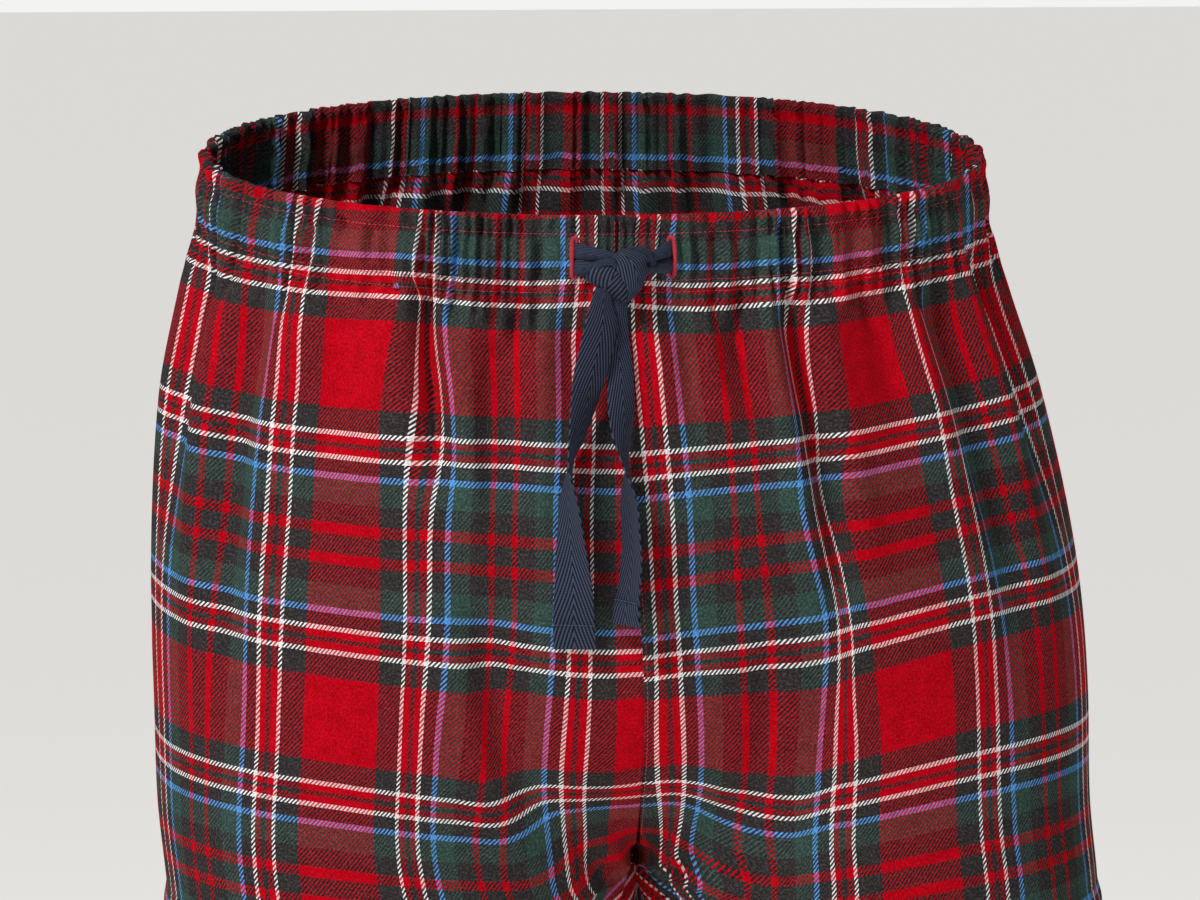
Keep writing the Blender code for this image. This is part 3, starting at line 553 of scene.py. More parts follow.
def cloth_columns(side):
    """The shares of the columns: closer together at the seams and the deep folds."""
    dense = np.linspace(0.0, 1.0, 2001)
    crowds = [(seam, CROWDED) for seam in SEAMS]
    for fold_side, top_share, _, low_share, *_ in LEANS:
        if fold_side == side:
            crowds.append(((top_share + low_share) / 2 + CROWDED, CROWDED_AT_FOLD))
    weight = 1.0 + CROWDING * sum(bell((dense - middle) / width) for middle, width in crowds)
    reach = running_total((weight[1:] + weight[:-1]) / 2)
    at_side = np.interp(SIDE_SHARE, dense, reach)
    front = np.interp(np.linspace(0.0, at_side, FRONT_COLUMNS), reach, dense)
    back = np.interp(np.linspace(at_side, reach[-1], BACK_COLUMNS), reach, dense)
    front[-1] = back[0] = SIDE_SHARE
    return np.concatenate([front, back[1:]])


def gather_turns(share, side):
    """How many gathers lie between the centre front and a share: unevenly spaced."""
    turn = math.pi * share
    swing = 0.55 * np.sin(3 * turn) + 0.30 * side * np.sin(8 * turn) + 0.22 * np.sin(13 * turn)
    return GATHERS_PER_HALF * share + swing


def uneven(index, seed):
    """A number between 0 and 1 that differs from one gather or stitch to the next."""
    value = np.sin(index * 12.9898 + seed * 78.233) * 43758.5453
    return value - np.floor(value)


SMALL_WAVES = (
    # waves to a gather and their height: the soft swells, the puckers at the stitches, the fold's ruffle
    (2.6, 1.60 * MM),
    (4.4, 0.80 * MM),
    (3.3, 1.05 * MM),
)
PUCKER_REACH = 2.6 * MM              # up and down from a row of stitches
RUFFLE_DOWN = 10 * MM                # from the waist's fold
LOBES_RUN_ON = 20 * MM               # below the casing's foot, and the soft swells and the valleys
SWELLS_RUN_ON = 14 * MM
VALLEYS_RUN_ON = (10 * MM, 34 * MM)  # at least, and how much more
VALLEY_DEPTH = 2.3                   # in gather depths


def gathers(side, share, length, drop):
    """The elastic's gathers: rounded lobes with narrow valleys between, which run out below, and the
    fine puckers that the rows of stitches pull in."""
    turns = gather_turns(share, side)
    valley = np.round(turns)
    seed = np.where((valley > 0) & (valley < GATHERS_PER_HALF), side, 0)
    depth = 0.7 + 1.0 * uneven(valley, seed)
    ease_off = 0.50 + 0.50 * ramp(share * length, FLAT_AT_BUTTONHOLES, EASE_OFF_OVER)
    on_casing = profile(CASING_OUTSIDE, np.minimum(drop, CASING_HEIGHT))[..., 1]
    below = drop - CASING_HEIGHT
    lobes = 0.5 * np.sin(math.pi * turns) ** 2 * (1.0 - ease(below / LOBES_RUN_ON))
    runs_on = VALLEYS_RUN_ON[0] + VALLEYS_RUN_ON[1] * uneven(valley, seed + 5)
    valleys = VALLEY_DEPTH * depth * np.cos(math.pi * turns) ** 8 * (1.0 - ease(below / runs_on))
    valleys = valleys * (1.0 + 0.5 * ramp(below, -2 * MM, 6 * MM))
    wander = turns + 0.12 * np.sin(2 * math.pi * 0.37 * turns + side)
    at_stitches = sum(bell((drop - row) / PUCKER_REACH) for row in CASING_STITCH_DROPS)
    strengths = (
        1.0 - ease(below / SWELLS_RUN_ON),
        at_stitches * (0.6 + 0.4 * np.sin(2 * math.pi * 0.7 * turns)),
        1.0 - ease(drop / RUFFLE_DOWN),
    )
    small = sum(
        height * np.cos(2 * math.pi * waves * wander) * strength
        for (waves, height), strength in zip(SMALL_WAVES, strengths)
    )
    return ease_off * (GATHER_DEPTH * on_casing * (lobes - valleys) + small)


CASING_RUNS_OUT = 12 * MM


def casing_form(drop):
    """How far the casing stands out between its rows of stitches; it runs out just below them."""
    out = profile(CASING_OUTSIDE, np.minimum(drop, CASING_HEIGHT))[..., 0]
    return out * (1.0 - ramp(drop, CASING_HEIGHT, CASING_RUNS_OUT))


def trough(place, half_width, share, drop, length, fades):
    """How strong a trough is at a drop, and how many half widths a point lies from its bottom. It
    starts and ends over two shares of its length."""
    top_share, top_drop, low_share, low_drop = place
    t = (drop - top_drop) / (low_drop - top_drop)
    strength = ease(t / fades[0]) * ease((1 - t) / fades[1]) * ((t > 0) & (t < 1))
    middle = top_share + (low_share - top_share) * t
    return strength, (share - middle) * length / half_width


def troughs(table, fades, lip_share, side, share, drop, length):
    """The height of a table's troughs, each between two low lips."""
    height = np.zeros(np.broadcast(share, drop).shape)
    for row_side, *place, half_width, depth in table:
        if row_side == side:
            strength, away = trough(place, half_width, share, drop, length, fades)
            lips = bell(away - LIP_AWAY) + bell(away + LIP_AWAY)
            height -= depth * strength * (bell(away) - lip_share * lips)
    return height


def fold_height(side, share, drop, length):
    height = troughs(FOLDS, FOLD_FADES, FOLD_LIPS, side, share, drop, length)
    for from_seam in (share, 1 - share):
        height = height * ease(from_seam * length / FOLDS_FADE_NEAR_SEAMS)
    return height


def seam_height(share, drop, length):
    """The groove along each seam, and the line that the hem's stitches pull in."""
    depth, half_width = SEAM_GROOVE
    grooves = sum(bell((share - seam) * length / half_width) for seam in SEAMS)
    hem_depth, hem_half_width = HEM_GROOVE
    return -depth * grooves - hem_depth * bell((drop - HEM_STITCH_DROP) / hem_half_width)


def lean(side, share, drop, length):
    """How far the lip of a deep fold leans over towards the centre front."""
    slide = np.zeros(np.broadcast(share, drop).shape)
    for row_side, *place, lip, half_width, amount in LEANS:
        if row_side == side:
            strength, away = trough(place, half_width, share, drop, length, LEAN_FADES)
            slide += amount * strength * bell(away - lip / half_width)
    return slide


def leg_gap(side, points, drop):
    """How far back the cloth goes where the legs part, just under the front's rise."""
    from_middle = side * (points[..., 0] - profile(SWAY, drop)[..., 0])
    half_width = profile(LEG_GAP, drop)[..., 0]
    opened = ramp(drop, *LEG_GAP_OPENS) * (1.0 - ramp(drop, *LEG_GAP_SHUTS))
    in_front = ramp(-points[..., 1], *LEG_GAP_BEHIND)
    return LEG_GAP_DEEP * opened * in_front * ease((half_width - from_middle) / LEG_GAP_EDGE)


def relief(side, share, drop, length):
    """All folds, creases and gathers together."""
    creases = troughs(CREASES, CREASE_FADES, CREASE_LIPS, side, share, drop, length)
    folds = fold_height(side, share, drop, length) + creases
    return folds + gathers(side, share, length, drop)


BACK_MEETS = (0.945, 0.040)          # the share where the backs' cloth meets under the crotch, half width
BACK_MEETS_BY = 0.90                 # how much of the way to the middle
BACK_PARTS = (0.365, 0.12)           # the drop from which it parts, and over how much
SWAY_STARTS = (0.02, 0.04)


def plain_form(side, rows, shares):
    """The rows of the plain form, their lengths and the drop of every point."""
    side_drop, seam_drop, closed = (column[:, None] for column in rows)
    body, leg = body_girths(rows[0]), leg_girths(rows[1])
    at_side = ramp(side_drop, LEG_FORM_FROM, LEG_FORM_BY - LEG_FORM_FROM)
    length = body.length[:, None] * (1 - at_side) + leg.length[:, None] * at_side
    share = np.broadcast_to(shares[None, :], (len(rows[0]), len(shares)))
    near_seam = 1.0 - ease(np.minimum(share, 1.0 - share) / SEAM_REACH)
    drop = side_drop + (seam_drop - side_drop) * near_seam
    (bx, by), (lx, ly) = body.at(share), leg.at(share)
    leg_part = at_side + (closed - at_side) * near_seam
    x, y = bx + (lx - bx) * leg_part, by + (ly - by) * leg_part
    meets_at, half_width = BACK_MEETS
    meets = bell((share - meets_at) / half_width) * (1.0 - ramp(drop, *BACK_PARTS))
    x = x * (1.0 - BACK_MEETS_BY * meets * closed**6)
    sway = profile(SWAY, drop)[..., 0] * ramp(drop, *SWAY_STARTS)
    lift = y * math.tan(WAIST_TILT) * (1.0 - ease(drop / TILT_FADES_AT))
    points = np.stack([side * x + sway, y, lift - drop], axis=-1)
    return points, length, drop


def outward(points, side, closed):
    """The outward normals of a half's grid. Both sides of a seam share one."""
    down, across = np.gradient(points, axis=(0, 1))
    normals = unit(np.cross(down, across) * side)
    shut = closed >= 1.0
    shared = unit(normals[shut, 0] + normals[shut, -1])
    for end in (0, -1):
        normals[shut, end] = shared
        crossing = normals[:, end, 0] * side > 0
        normals[crossing, end, 0] = 0.0
    return unit(normals)


def drape(table, row_drop, shares):
    """The corrections of a drape table over a whole grid, in metres."""
    by_row = profile(table, row_drop)
    read = [profile(list(zip(DRAPE_SHARES, values)), shares)[:, 0] for values in by_row]
    return np.array(read) * MM * (shares <= DRAPE_SHARES[-1])


EVEN_OUT_FOLDS = 60                  # passes over the rows


class HalfCloth:
    """The outside of one half's cloth as a grid, with its place on the flat cloth."""

    def __init__(self, side):
        rows = cloth_rows()
        self.side, self.rows, self.shares = side, rows, cloth_columns(side)
        self.seam = FRONT_COLUMNS - 1
        plain, length, drop = plain_form(side, rows, self.shares)
        side_drop, share = rows[0][:, None], self.shares[None, :]
        height = relief(side, share, side_drop, length) + casing_form(side_drop)
        height = height + seam_height(share, drop, length)
        normals = outward(plain, side, rows[2])
        slide = unit(np.gradient(plain, axis=1)) * lean(side, share, side_drop, length)[..., None]
        self.points = plain + normals * height[..., None] - slide
        self.points[..., 1] += leg_gap(side, self.points, drop)
        self.normals = outward(self.points, side, rows[2])
        folded = plain + normals * fold_height(side, share, side_drop, length)[..., None]
        front, back = self.lie_across(folded)
        front = front + drape(DRAPE_ACROSS[side], rows[0], self.shares)
        down = self.lie_down(plain) + drape(DRAPE_DOWN[side], rows[0], self.shares)
        self.flat = np.stack([side * front, down], axis=-1), np.stack([-side * back, down], axis=-1)

    def lie_across(self, folded):
        """How far across the flat cloth each point lies, from the middle of the front's and of the
        back's red block. The folds take cloth up, evenly down their length."""
        level = np.linalg.norm(np.diff(folded[..., :2], axis=1), axis=-1)
        for _ in range(EVEN_OUT_FOLDS):
            level[1:-1] = (level[:-2] + 2 * level[1:-1] + level[2:]) / 4
        arc = running_total(level, axis=1)
        to_side = arc[:, self.seam]
        row_drop = self.rows[0]
        hip = int(np.searchsorted(row_drop, BEND_DROP - 1e-6))
        into_leg = ramp(row_drop, BEND_DROP, LEG_FORM_BY - BEND_DROP)
        leg_ease = EASE_ROUND_HIP + (EASE_ROUND_LEG - EASE_ROUND_HIP) * into_leg

        def panel(at_centre, to_centre, from_side):
            at_side = at_centre[hip] + EASE_ROUND_HIP * to_centre[hip]
            row_ease = np.where(row_drop < BEND_DROP, (at_side - at_centre) / to_centre, leg_ease)
            return at_side - row_ease[:, None] * from_side

        at_front = profile(CHECK_AT_CENTRE_FRONT[self.side], row_drop)[:, 0]
        at_back = np.full(len(row_drop), CHECK_AT_CENTRE_BACK)
        front = panel(at_front, to_side, to_side[:, None] - arc)
        return front, panel(at_back, arc[:, -1] - to_side, arc - to_side[:, None])

    def lie_down(self, plain):
        """How far down the flat cloth each point lies, from the middle of a red block."""
        down = reach_along(plain)
        thigh = int(np.searchsorted(self.rows[0], THIGH_DROP - 1e-6))
        at_side = down[:, self.seam][:, None]
        extra = down[thigh, self.seam] - down[thigh]
        level_by = ramp(self.rows[0][:, None], *LEGS_HANG_LEVEL)
        return down + (at_side - down - 0.5 * extra[None, :]) * level_by - CHECK_ABOVE_FIRST_BLOCK

    def at(self, share, drop, grid=None):
        """Points of the outside (or of another grid) at shares and drops of the side."""
        grid = self.points if grid is None else grid
        row = np.interp(drop, self.rows[0], np.arange(len(self.rows[0])))
        column = np.interp(share, self.shares, np.arange(len(self.shares)))
        r = np.clip(row.astype(int), 0, len(self.rows[0]) - 2)
        c = np.clip(column.astype(int), 0, len(self.shares) - 2)
        fr, fc = (row - r)[..., None], (column - c)[..., None]
        return (
            grid[r, c] * (1 - fr) * (1 - fc)
            + grid[r + 1, c] * fr * (1 - fc)
            + grid[r, c + 1] * (1 - fr) * fc
            + grid[r + 1, c + 1] * fr * fc
        )


@functools.cache
def half_cloth(side):
    return HalfCloth(side)


# ---- meshes -----------------------------------------------------------------------------------------------
def build_mesh(name, points, faces, material, smooth_under=None):
    """A mesh from arrays. Each item of faces has the corners, their place on the cloth and, unless
    smooth_under gives the angle that stays smooth, their normals."""
    mesh = bpy.data.meshes.new(name)
    mesh.vertices.add(len(points))
    mesh.vertices.foreach_set("co", np.asarray(points, np.float32).ravel())
    corners = np.concatenate([item[0].reshape(-1) for item in faces]).astype(np.int32)
    counts = np.concatenate([np.full(len(item[0]), item[0].shape[1]) for item in faces])
    mesh.loops.add(len(corners))
    mesh.loops.foreach_set("vertex_index", corners)
    mesh.polygons.add(len(counts))
    starts = np.concatenate([[0], np.cumsum(counts)[:-1]]).astype(np.int32)
    mesh.polygons.foreach_set("loop_start", starts)
    mesh.update(calc_edges=True)
    mesh.validate()
    flat = mesh.uv_layers.new(name="Cloth")
    flat.data.foreach_set("uv", np.concatenate([item[1].reshape(-1) for item in faces]).astype(np.float32))
    mesh.shade_smooth()
    if smooth_under is None:
        normals = np.concatenate([item[2].reshape(-1, 3) for item in faces])
        mesh.normals_split_custom_set(normals.astype(np.float32).tolist())
    else:
        mesh.set_sharp_from_angle(angle=math.radians(smooth_under))
    mesh.materials.append(material)
    made = bpy.data.objects.new(name, mesh)
    bpy.context.scene.collection.objects.link(made)
    return made


def quads(grid):
    """The corners of a grid's faces, facing the side from which its columns run to the right."""
    return np.stack([grid[:-1, :-1], grid[1:, :-1], grid[1:, 1:], grid[:-1, 1:]], axis=-1).reshape(-1, 4)


def corner_values(values, flip=False):
    """A grid's values at the corners that quads() gives."""
    parts = [values[:-1, :-1], values[1:, :-1], values[1:, 1:], values[:-1, 1:]]
    if flip:
        parts = parts[::-1]
    return np.stack(parts, axis=2).reshape(-1, 4, values.shape[-1])


def rim_corners(fine, coarse, turned):
    """The corners of a rim's faces: three on the fine edge of the wall and two on the coarse one."""
    corners = [fine[:-2:2], fine[1:-1:2], fine[2::2], coarse[1:], coarse[:-1]]
    return np.stack(corners if turned else corners[::-1], axis=1)


RIMS = (
    # an edge of a grid, the next line inward, whether the rim's corners run the other way
    (np.s_[0], np.s_[1], True),
    (np.s_[-1], np.s_[-2], False),
    (np.s_[:, 0], np.s_[:, 1], False),
    (np.s_[:, -1], np.s_[:, -2], True),
)


def shell(name, outer, outer_flat, facing, wall, material):
    """A closed wall. The inside has every second row and column of the outer grid (odd counts)."""
    inner = (outer - facing * wall[:, None, None])[::2, ::2]
    inner_flat, inner_facing = outer_flat[::2, ::2], -facing[::2, ::2]
    rows, columns = outer.shape[:2]
    at_outer = np.arange(rows * columns).reshape(rows, columns)
    at_inner = rows * columns + np.arange(inner.shape[0] * inner.shape[1]).reshape(inner.shape[:2])
    faces = [
        (quads(at_outer), corner_values(outer_flat), corner_values(facing)),
        (quads(at_inner)[:, ::-1], corner_values(inner_flat, True), corner_values(inner_facing, True)),
    ]
    for edge, inward, turned in RIMS:
        way = unit(outer[edge] - outer[inward])
        pairs = ((at_outer[edge], at_inner[edge]), (outer_flat[edge], inner_flat[edge]), (way, way[::2]))
        faces.append(tuple(rim_corners(fine, coarse, turned) for fine, coarse in pairs))
    points = np.concatenate([outer.reshape(-1, 3), inner.reshape(-1, 3)])
    return build_mesh(name, points, faces, material)


# ---- materials --------------------------------------------------------------------------------------------
def feed(tree, node, inputs):
    """Sets or links a node's inputs."""
    for socket, value in inputs.items():
        if isinstance(value, bpy.types.NodeSocket):
            tree.links.new(value, node.inputs[socket])
        else:
            node.inputs[socket].default_value = value


def add_node(tree, kind, inputs, **settings):
    """A node with its settings and its inputs."""
    node = tree.nodes.new(kind)
    for setting, value in settings.items():
        setattr(node, setting, value)
    feed(tree, node, inputs)
    return node


def new_material(name):
    made = bpy.data.materials.new(name)
    made.use_nodes = True
    return made, made.node_tree, made.node_tree.nodes["Principled BSDF"]


def cloth_place(tree):
    """Where a point lies on the flat cloth, in metres."""
    return add_node(tree, "ShaderNodeUVMap", {}, uv_map="Cloth").outputs["UV"]


def across_and_down(tree, place):
    split = add_node(tree, "ShaderNodeSeparateXYZ", {"Vector": place})
    return split.outputs["X"], split.outputs["Y"]


def maths(tree, operation, *values):
    node = add_node(tree, "ShaderNodeMath", dict(enumerate(values)), operation=operation)
    return node.outputs["Value"]


def vector_maths(tree, operation, first, second):
    node = add_node(tree, "ShaderNodeVectorMath", {0: first, 1: second}, operation=operation)
    return node.outputs["Vector"]


def scaled(tree, vector, factor):
    node = add_node(tree, "ShaderNodeVectorMath", {0: vector, "Scale": factor}, operation="SCALE")
    return node.outputs["Vector"]


def ranged(tree, value, low, high, new_low=0.0, new_high=1.0, kind="LINEAR"):
    """A value carried from one range to another, and held at its ends."""
    inputs = {"Value": value, "From Min": low, "From Max": high, "To Min": new_low, "To Max": new_high}
    return add_node(tree, "ShaderNodeMapRange", inputs, interpolation_type=kind).outputs["Result"]


def noise(tree, place, size, detail=2.0, roughness=0.5, read="Fac"):
    inputs = {"Vector": place, "Scale": 1 / size, "Detail": detail, "Roughness": roughness}
    return add_node(tree, "ShaderNodeTexNoise", inputs).outputs[read]


def bumped(tree, height, strength, distance):
    inputs = {"Height": height, "Strength": strength, "Distance": distance}
    return add_node(tree, "ShaderNodeBump", inputs).outputs["Normal"]


def channel(tree, colour, name):
    return add_node(tree, "ShaderNodeSeparateColor", {"Color": colour}).outputs[name]


def mix_colours(tree, factor, first, second):
    """first where the factor is 0, second where it is 1."""
    return add_node(tree, "ShaderNodeMix", {0: factor, 6: first, 7: second}, data_type="RGBA").outputs[2]


# how much of the face a yarn's floats take beside another's: dark and pale fibres spread over the red
YARN_SPREAD = {"red": 0.31, "charcoal": 0.52, "green": 0.50, "white": 0.50, "blue": 0.49}


def stripes(tree, position, sett, colours):
    """The yarn's colour at a position across a sett that mirrors at both its ends."""
    repeat = sett[-1][0] * MM
    along = maths(tree, "DIVIDE", maths(tree, "PINGPONG", position, repeat), repeat)
    node = add_node(tree, "ShaderNodeValToRGB", {"Fac": along})
    bands = node.color_ramp
    bands.interpolation = "CONSTANT"
    start = 0.0
    for index, (end, yarn) in enumerate(sett):
        band = bands.elements[0] if index == 0 else bands.elements.new(start)
        band.position = start
        band.color = (*getattr(colours, yarn), YARN_SPREAD[yarn])
        start = end * MM / repeat
    bands.elements.remove(bands.elements[-1])
    return node.outputs["Color"], node.outputs["Alpha"]


MUCH_REDDER = (0.34, 0.50)           # by how much the other yarn's red is brighter
# the painted shade that darkens a dark yarn in the furrow beside a much redder one
PAINTED_FURROW_SHADE_TO = 0.66
PALE = (0.3, 0.6)                    # the blue of a pale yarn
PALE_MIXED, PALE_GLOW = 0.32, 0.28   # how much of the red it takes


def beside(tree, yarn, other):
    """A yarn as it looks beside another: a dark one is darkened by painted furrow shade, and a pale one
    takes the glow of red fibres."""
    brighter = maths(tree, "SUBTRACT", channel(tree, other, "Red"), channel(tree, yarn, "Red"))
    furrow_shaded = scaled(tree, yarn, ranged(tree, brighter, *MUCH_REDDER, 1.0, PAINTED_FURROW_SHADE_TO))
    redness = maths(tree, "SUBTRACT", channel(tree, other, "Red"), channel(tree, other, "Blue"))
    pale = ranged(tree, channel(tree, yarn, "Blue"), *PALE)
    taken = ranged(tree, maths(tree, "MULTIPLY", redness, pale), 0.0, 0.5)
    mixed = mix_colours(tree, maths(tree, "MULTIPLY", taken, PALE_MIXED), furrow_shaded, other)
    glow = scaled(tree, other, maths(tree, "MULTIPLY", taken, PALE_GLOW))
    return vector_maths(tree, "ADD", mixed, glow)


SPREAD_SHIFT = 0.33                  # how far the yarns' spread moves the edge between warp and weft
WARP_OVER = (0.195, 0.322)           # of the twill's phase, 0 to 0.5: from the weft's float to the warp's
FURROW_AT = 0.258
RIDGE_REACH = 0.17
FLUFF_UNTIL = 1.65                   # loose pale fibres show on the yarns whose red is below 1 / this


def brushed_cotton_check(colours, sizes):
    """Brushed cotton, 2/2 twill woven from dyed yarns: matt, soft, the diagonals blurred by the nap.
    The real twill repeats every 1.75 mm across and 2.1 mm down. It is drawn a little coarser, to show."""
    made, tree, shader = new_material("brushed_cotton_check")
    place = cloth_place(tree)
    # yarns wander by a fraction of a millimetre over a centimetre or so
    wander = vector_maths(tree, "SUBTRACT", noise(tree, place, 9 * MM, read="Color"), (0.5, 0.5, 0.5))
    moved = vector_maths(tree, "ADD", place, scaled(tree, wander, 0.5 * MM))
    across, down = across_and_down(tree, moved)
    warp, warp_spread = stripes(tree, across, WARP, colours)
    weft, weft_spread = stripes(tree, down, WEFT, colours)
    # 0 where the weft floats, 0.5 where the warp does
    twill_run = maths(tree, "MULTIPLY_ADD", down, 1 / TWILL_LONGER_DOWN, across)
    phase = maths(tree, "PINGPONG", maths(tree, "DIVIDE", twill_run, sizes.twill), 0.5)
    spread = maths(tree, "MULTIPLY", maths(tree, "SUBTRACT", warp_spread, weft_spread), SPREAD_SHIFT)
    over = ranged(tree, maths(tree, "ADD", phase, spread), *WARP_OVER, kind="SMOOTHSTEP")
    woven = mix_colours(tree, over, beside(tree, weft, warp), beside(tree, warp, weft))
    from_furrow = maths(tree, "ABSOLUTE", maths(tree, "SUBTRACT", phase, FURROW_AT))
    ridge = ranged(tree, from_furrow, 0.0, RIDGE_REACH, kind="SMOOTHSTEP")
    # the nap: short loose fibres, and patches where it lies another way
    fibres = noise(tree, place, 1.1 * MM, roughness=0.6)
    patches = noise(tree, place, 7 * MM, detail=4.0)
    # painted shade in the twill's furrows, and a little painted light on its ridges
    shade = ranged(tree, ridge, 0.0, 1.0, 0.72, 1.06)
    nap = ranged(tree, fibres, 0.25, 0.75, 0.60, 1.40)
    worn = ranged(tree, patches, 0.3, 0.7, 0.86, 1.14)
    shaded = scaled(tree, woven, maths(tree, "MULTIPLY", maths(tree, "MULTIPLY", shade, nap), worn))
    # the fibres that stand up pale out of a dark yarn
    fluff = ranged(tree, fibres, 0.48, 0.75, 0.0, 0.050)
    lightness = maths(tree, "MULTIPLY", channel(tree, woven, "Red"), FLUFF_UNTIL)
    on_dark = maths(tree, "MAXIMUM", maths(tree, "SUBTRACT", 1.0, lightness), 0.0)
    pale = scaled(tree, (1.0, 0.96, 0.95), maths(tree, "MULTIPLY", fluff, on_dark))
    height = maths(tree, "ADD", maths(tree, "MULTIPLY", ridge, 0.6), maths(tree, "MULTIPLY", fibres, 0.8))
    feed(tree, shader, {
        "Base Color": vector_maths(tree, "ADD", shaded, pale),
        "Normal": bumped(tree, height, 0.30, 0.25 * MM),
        "Roughness": 0.95,
        "IOR": 1.45,
        "Specular IOR Level": 0.03,
        "Sheen Weight": 0.012,
        "Sheen Roughness": 0.6,
        "Sheen Tint": (1.0, 0.9, 0.88, 1.0),
    })
    return made


def herringbone_tape(colours, sizes):
    """Cotton herringbone tape, woven narrow: steep ribs that meet in a ridge down the middle, each
    broken into short floats."""
    made, tree, shader = new_material("herringbone_cotton_tape")
    place = cloth_place(tree)
    across, down = across_and_down(tree, place)
    from_middle = maths(tree, "ABSOLUTE", across)
    slanted = maths(tree, "SUBTRACT", from_middle, maths(tree, "MULTIPLY", down, 0.34))
    rib = maths(tree, "PINGPONG", maths(tree, "DIVIDE", slanted, sizes.tape_rib), 0.5)
    ridge = ranged(tree, rib, 0.06, 0.40, kind="SMOOTHSTEP")
    floats = maths(tree, "PINGPONG", maths(tree, "DIVIDE", down, 1.25 * MM), 0.5)
    height = maths(tree, "MULTIPLY", ridge, ranged(tree, floats, 0.0, 0.3, 0.72, kind="SMOOTHSTEP"))
    # painted shade: the tape darkens to its furrow colour between the ribs and between the floats
    woven = mix_colours(tree, height, (*colours.tape_shadow, 1.0), (*colours.tape, 1.0))
    nap = maths(tree, "MULTIPLY_ADD", noise(tree, place, 0.5 * MM), 0.5, 0.75)
    feed(tree, shader, {
        "Base Color": scaled(tree, woven, nap),
        "Normal": bumped(tree, height, 0.7, 0.35 * MM),
        "Roughness": 0.85,
        "Specular IOR Level": 0.12,
        "Sheen Weight": 0.03,
    })
    return made


def spun_polyester_thread(name, colour):
    """Sewing thread, spun polyester, two plies: a soft shine along each ply, painted into its colour."""
    made, tree, shader = new_material(name)
    across, down = across_and_down(tree, cloth_place(tree))
    ply = maths(tree, "PINGPONG", maths(tree, "ADD", maths(tree, "DIVIDE", across, 0.5 * MM), down), 0.5)
    # painted shine along each ply, with painted shade between the plies
    painted_ply_shine = maths(tree, "MULTIPLY_ADD", ply, 0.8, 0.65)
    shaded = scaled(tree, tuple(colour), painted_ply_shine)
    feed(tree, shader, {"Base Color": shaded, "Roughness": 0.5, "Sheen Weight": 0.2})
    return made


def plain_cloth(name, colour):
    """Cotton in one colour, unpatterned."""
    made, tree, shader = new_material(name)
    feed(tree, shader, {"Base Color": (*colour, 1.0), "Roughness": 0.95})
    return made


@functools.cache
def materials():
    scene = bpy.context.scene
    colours, sizes = scene.trouser_colours, scene.trouser_sizes
    return {
        "cloth": brushed_cotton_check(colours, sizes),
        "tape": herringbone_tape(colours, sizes),
        "thread": spun_polyester_thread("spun_polyester_thread", colours.thread),
        "tape_thread": spun_polyester_thread("navy_polyester_thread", colours.tape),
        # painted shade: the dark inside a buttonhole's slit
        "slot": plain_cloth("shaded_cotton_in_buttonhole", linear("#120406")),
    }


def dress(piece, slot, *nodes):
    """Fixes a piece to the trousers' one body and hides the solids that it stands for. Its finish is not
    used.
    """
    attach(piece, "root")
    if nodes:
        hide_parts(*nodes)
    return piece


# ---- the tape ---------------------------------------------------------------------------------------------
def smooth_rows(rows, count):
    """Rows on a smooth curve through the given ones, evenly spaced by row."""
    table = [(index, *row) for index, row in enumerate(rows)]
    return profile(table, np.linspace(0, len(rows) - 1, count))


TAPE_EDGE_THINNER = 0.5              # by this share, rounded off
TAPE_RIDGE = (0.18 * MM, 0.06)       # down the middle: its height, and half width to the tape's half width


def ribbon(name, middles, wides, thicks, widths, thicknesses, cup, material, across_count=15):
    """A flat woven tape as a closed wall: middles of its sections, which way they are wide and thick."""
    along = reach_along(middles)
    t = np.linspace(-1.0, 1.0, across_count)
    ring_across = np.concatenate([t, t[::-1]])
    ring_face = np.concatenate([np.ones(across_count), -np.ones(across_count)])
    edge = 1.0 - TAPE_EDGE_THINNER * np.abs(ring_across) ** 8
    ridge = TAPE_RIDGE[0] * bell(ring_across / TAPE_RIDGE[1])
    reach = ring_across[None, :] * widths[:, None] / 2
    rise = ring_face * edge * thicknesses[:, None] / 2 + ring_face * ridge
    rise = rise + cup[:, None] * (1 - ring_across**2)[None, :]
    points = middles[:, None] + wides[:, None] * reach[..., None] + thicks[:, None] * rise[..., None]
    stations, around = points.shape[:2]
    flat = np.stack([
        np.broadcast_to(ring_across * TAPE_WIDTH / 2, (stations, around)),
        np.broadcast_to(along[:, None], (stations, around)),
    ], axis=-1)
    index = np.arange(stations * around).reshape(stations, around)
    wrapped = np.append(np.arange(around), 0)
    faces = [(quads(index[:, wrapped]), corner_values(flat[:, wrapped]))]
    for station, turned in ((0, False), (-1, True)):
        ends = []
        for values in (index[station], flat[station]):
            front, back = values[:across_count], values[across_count:][::-1]
            corners = [front[:-1], front[1:], back[1:], back[:-1]]
            ends.append(np.stack(corners[::-1] if turned else corners, axis=1))
        faces.append(tuple(ends))
    made = build_mesh(name, points.reshape(-1, 3), faces, material, smooth_under=50)
    face_outward(made.data)
    return made


def face_outward(mesh):
    """Turns every face of a closed mesh to point out."""
    work = bmesh.new()
    work.from_mesh(mesh)
    bmesh.ops.recalc_face_normals(work, faces=work.faces)
    work.to_mesh(mesh)
    work.free()


def tail_sections(rows, count):
    """Middles and directions of a hanging tail's sections."""
    in_metres = [(across * MM, drop * MM, off * MM, *rest) for across, drop, off, *rest in rows]
    across, drop, off, twist, wide_share = smooth_rows(in_metres, count).T
    turn = np.radians(twist)
    middles = before_front(across, drop, off)
    wides = np.stack([np.cos(turn), -np.sin(turn), np.zeros(count)], axis=1)
    thicks = np.stack([-np.sin(turn), -np.cos(turn), np.zeros(count)], axis=1)
    return middles, wides, thicks, TAPE_WIDTH * wide_share


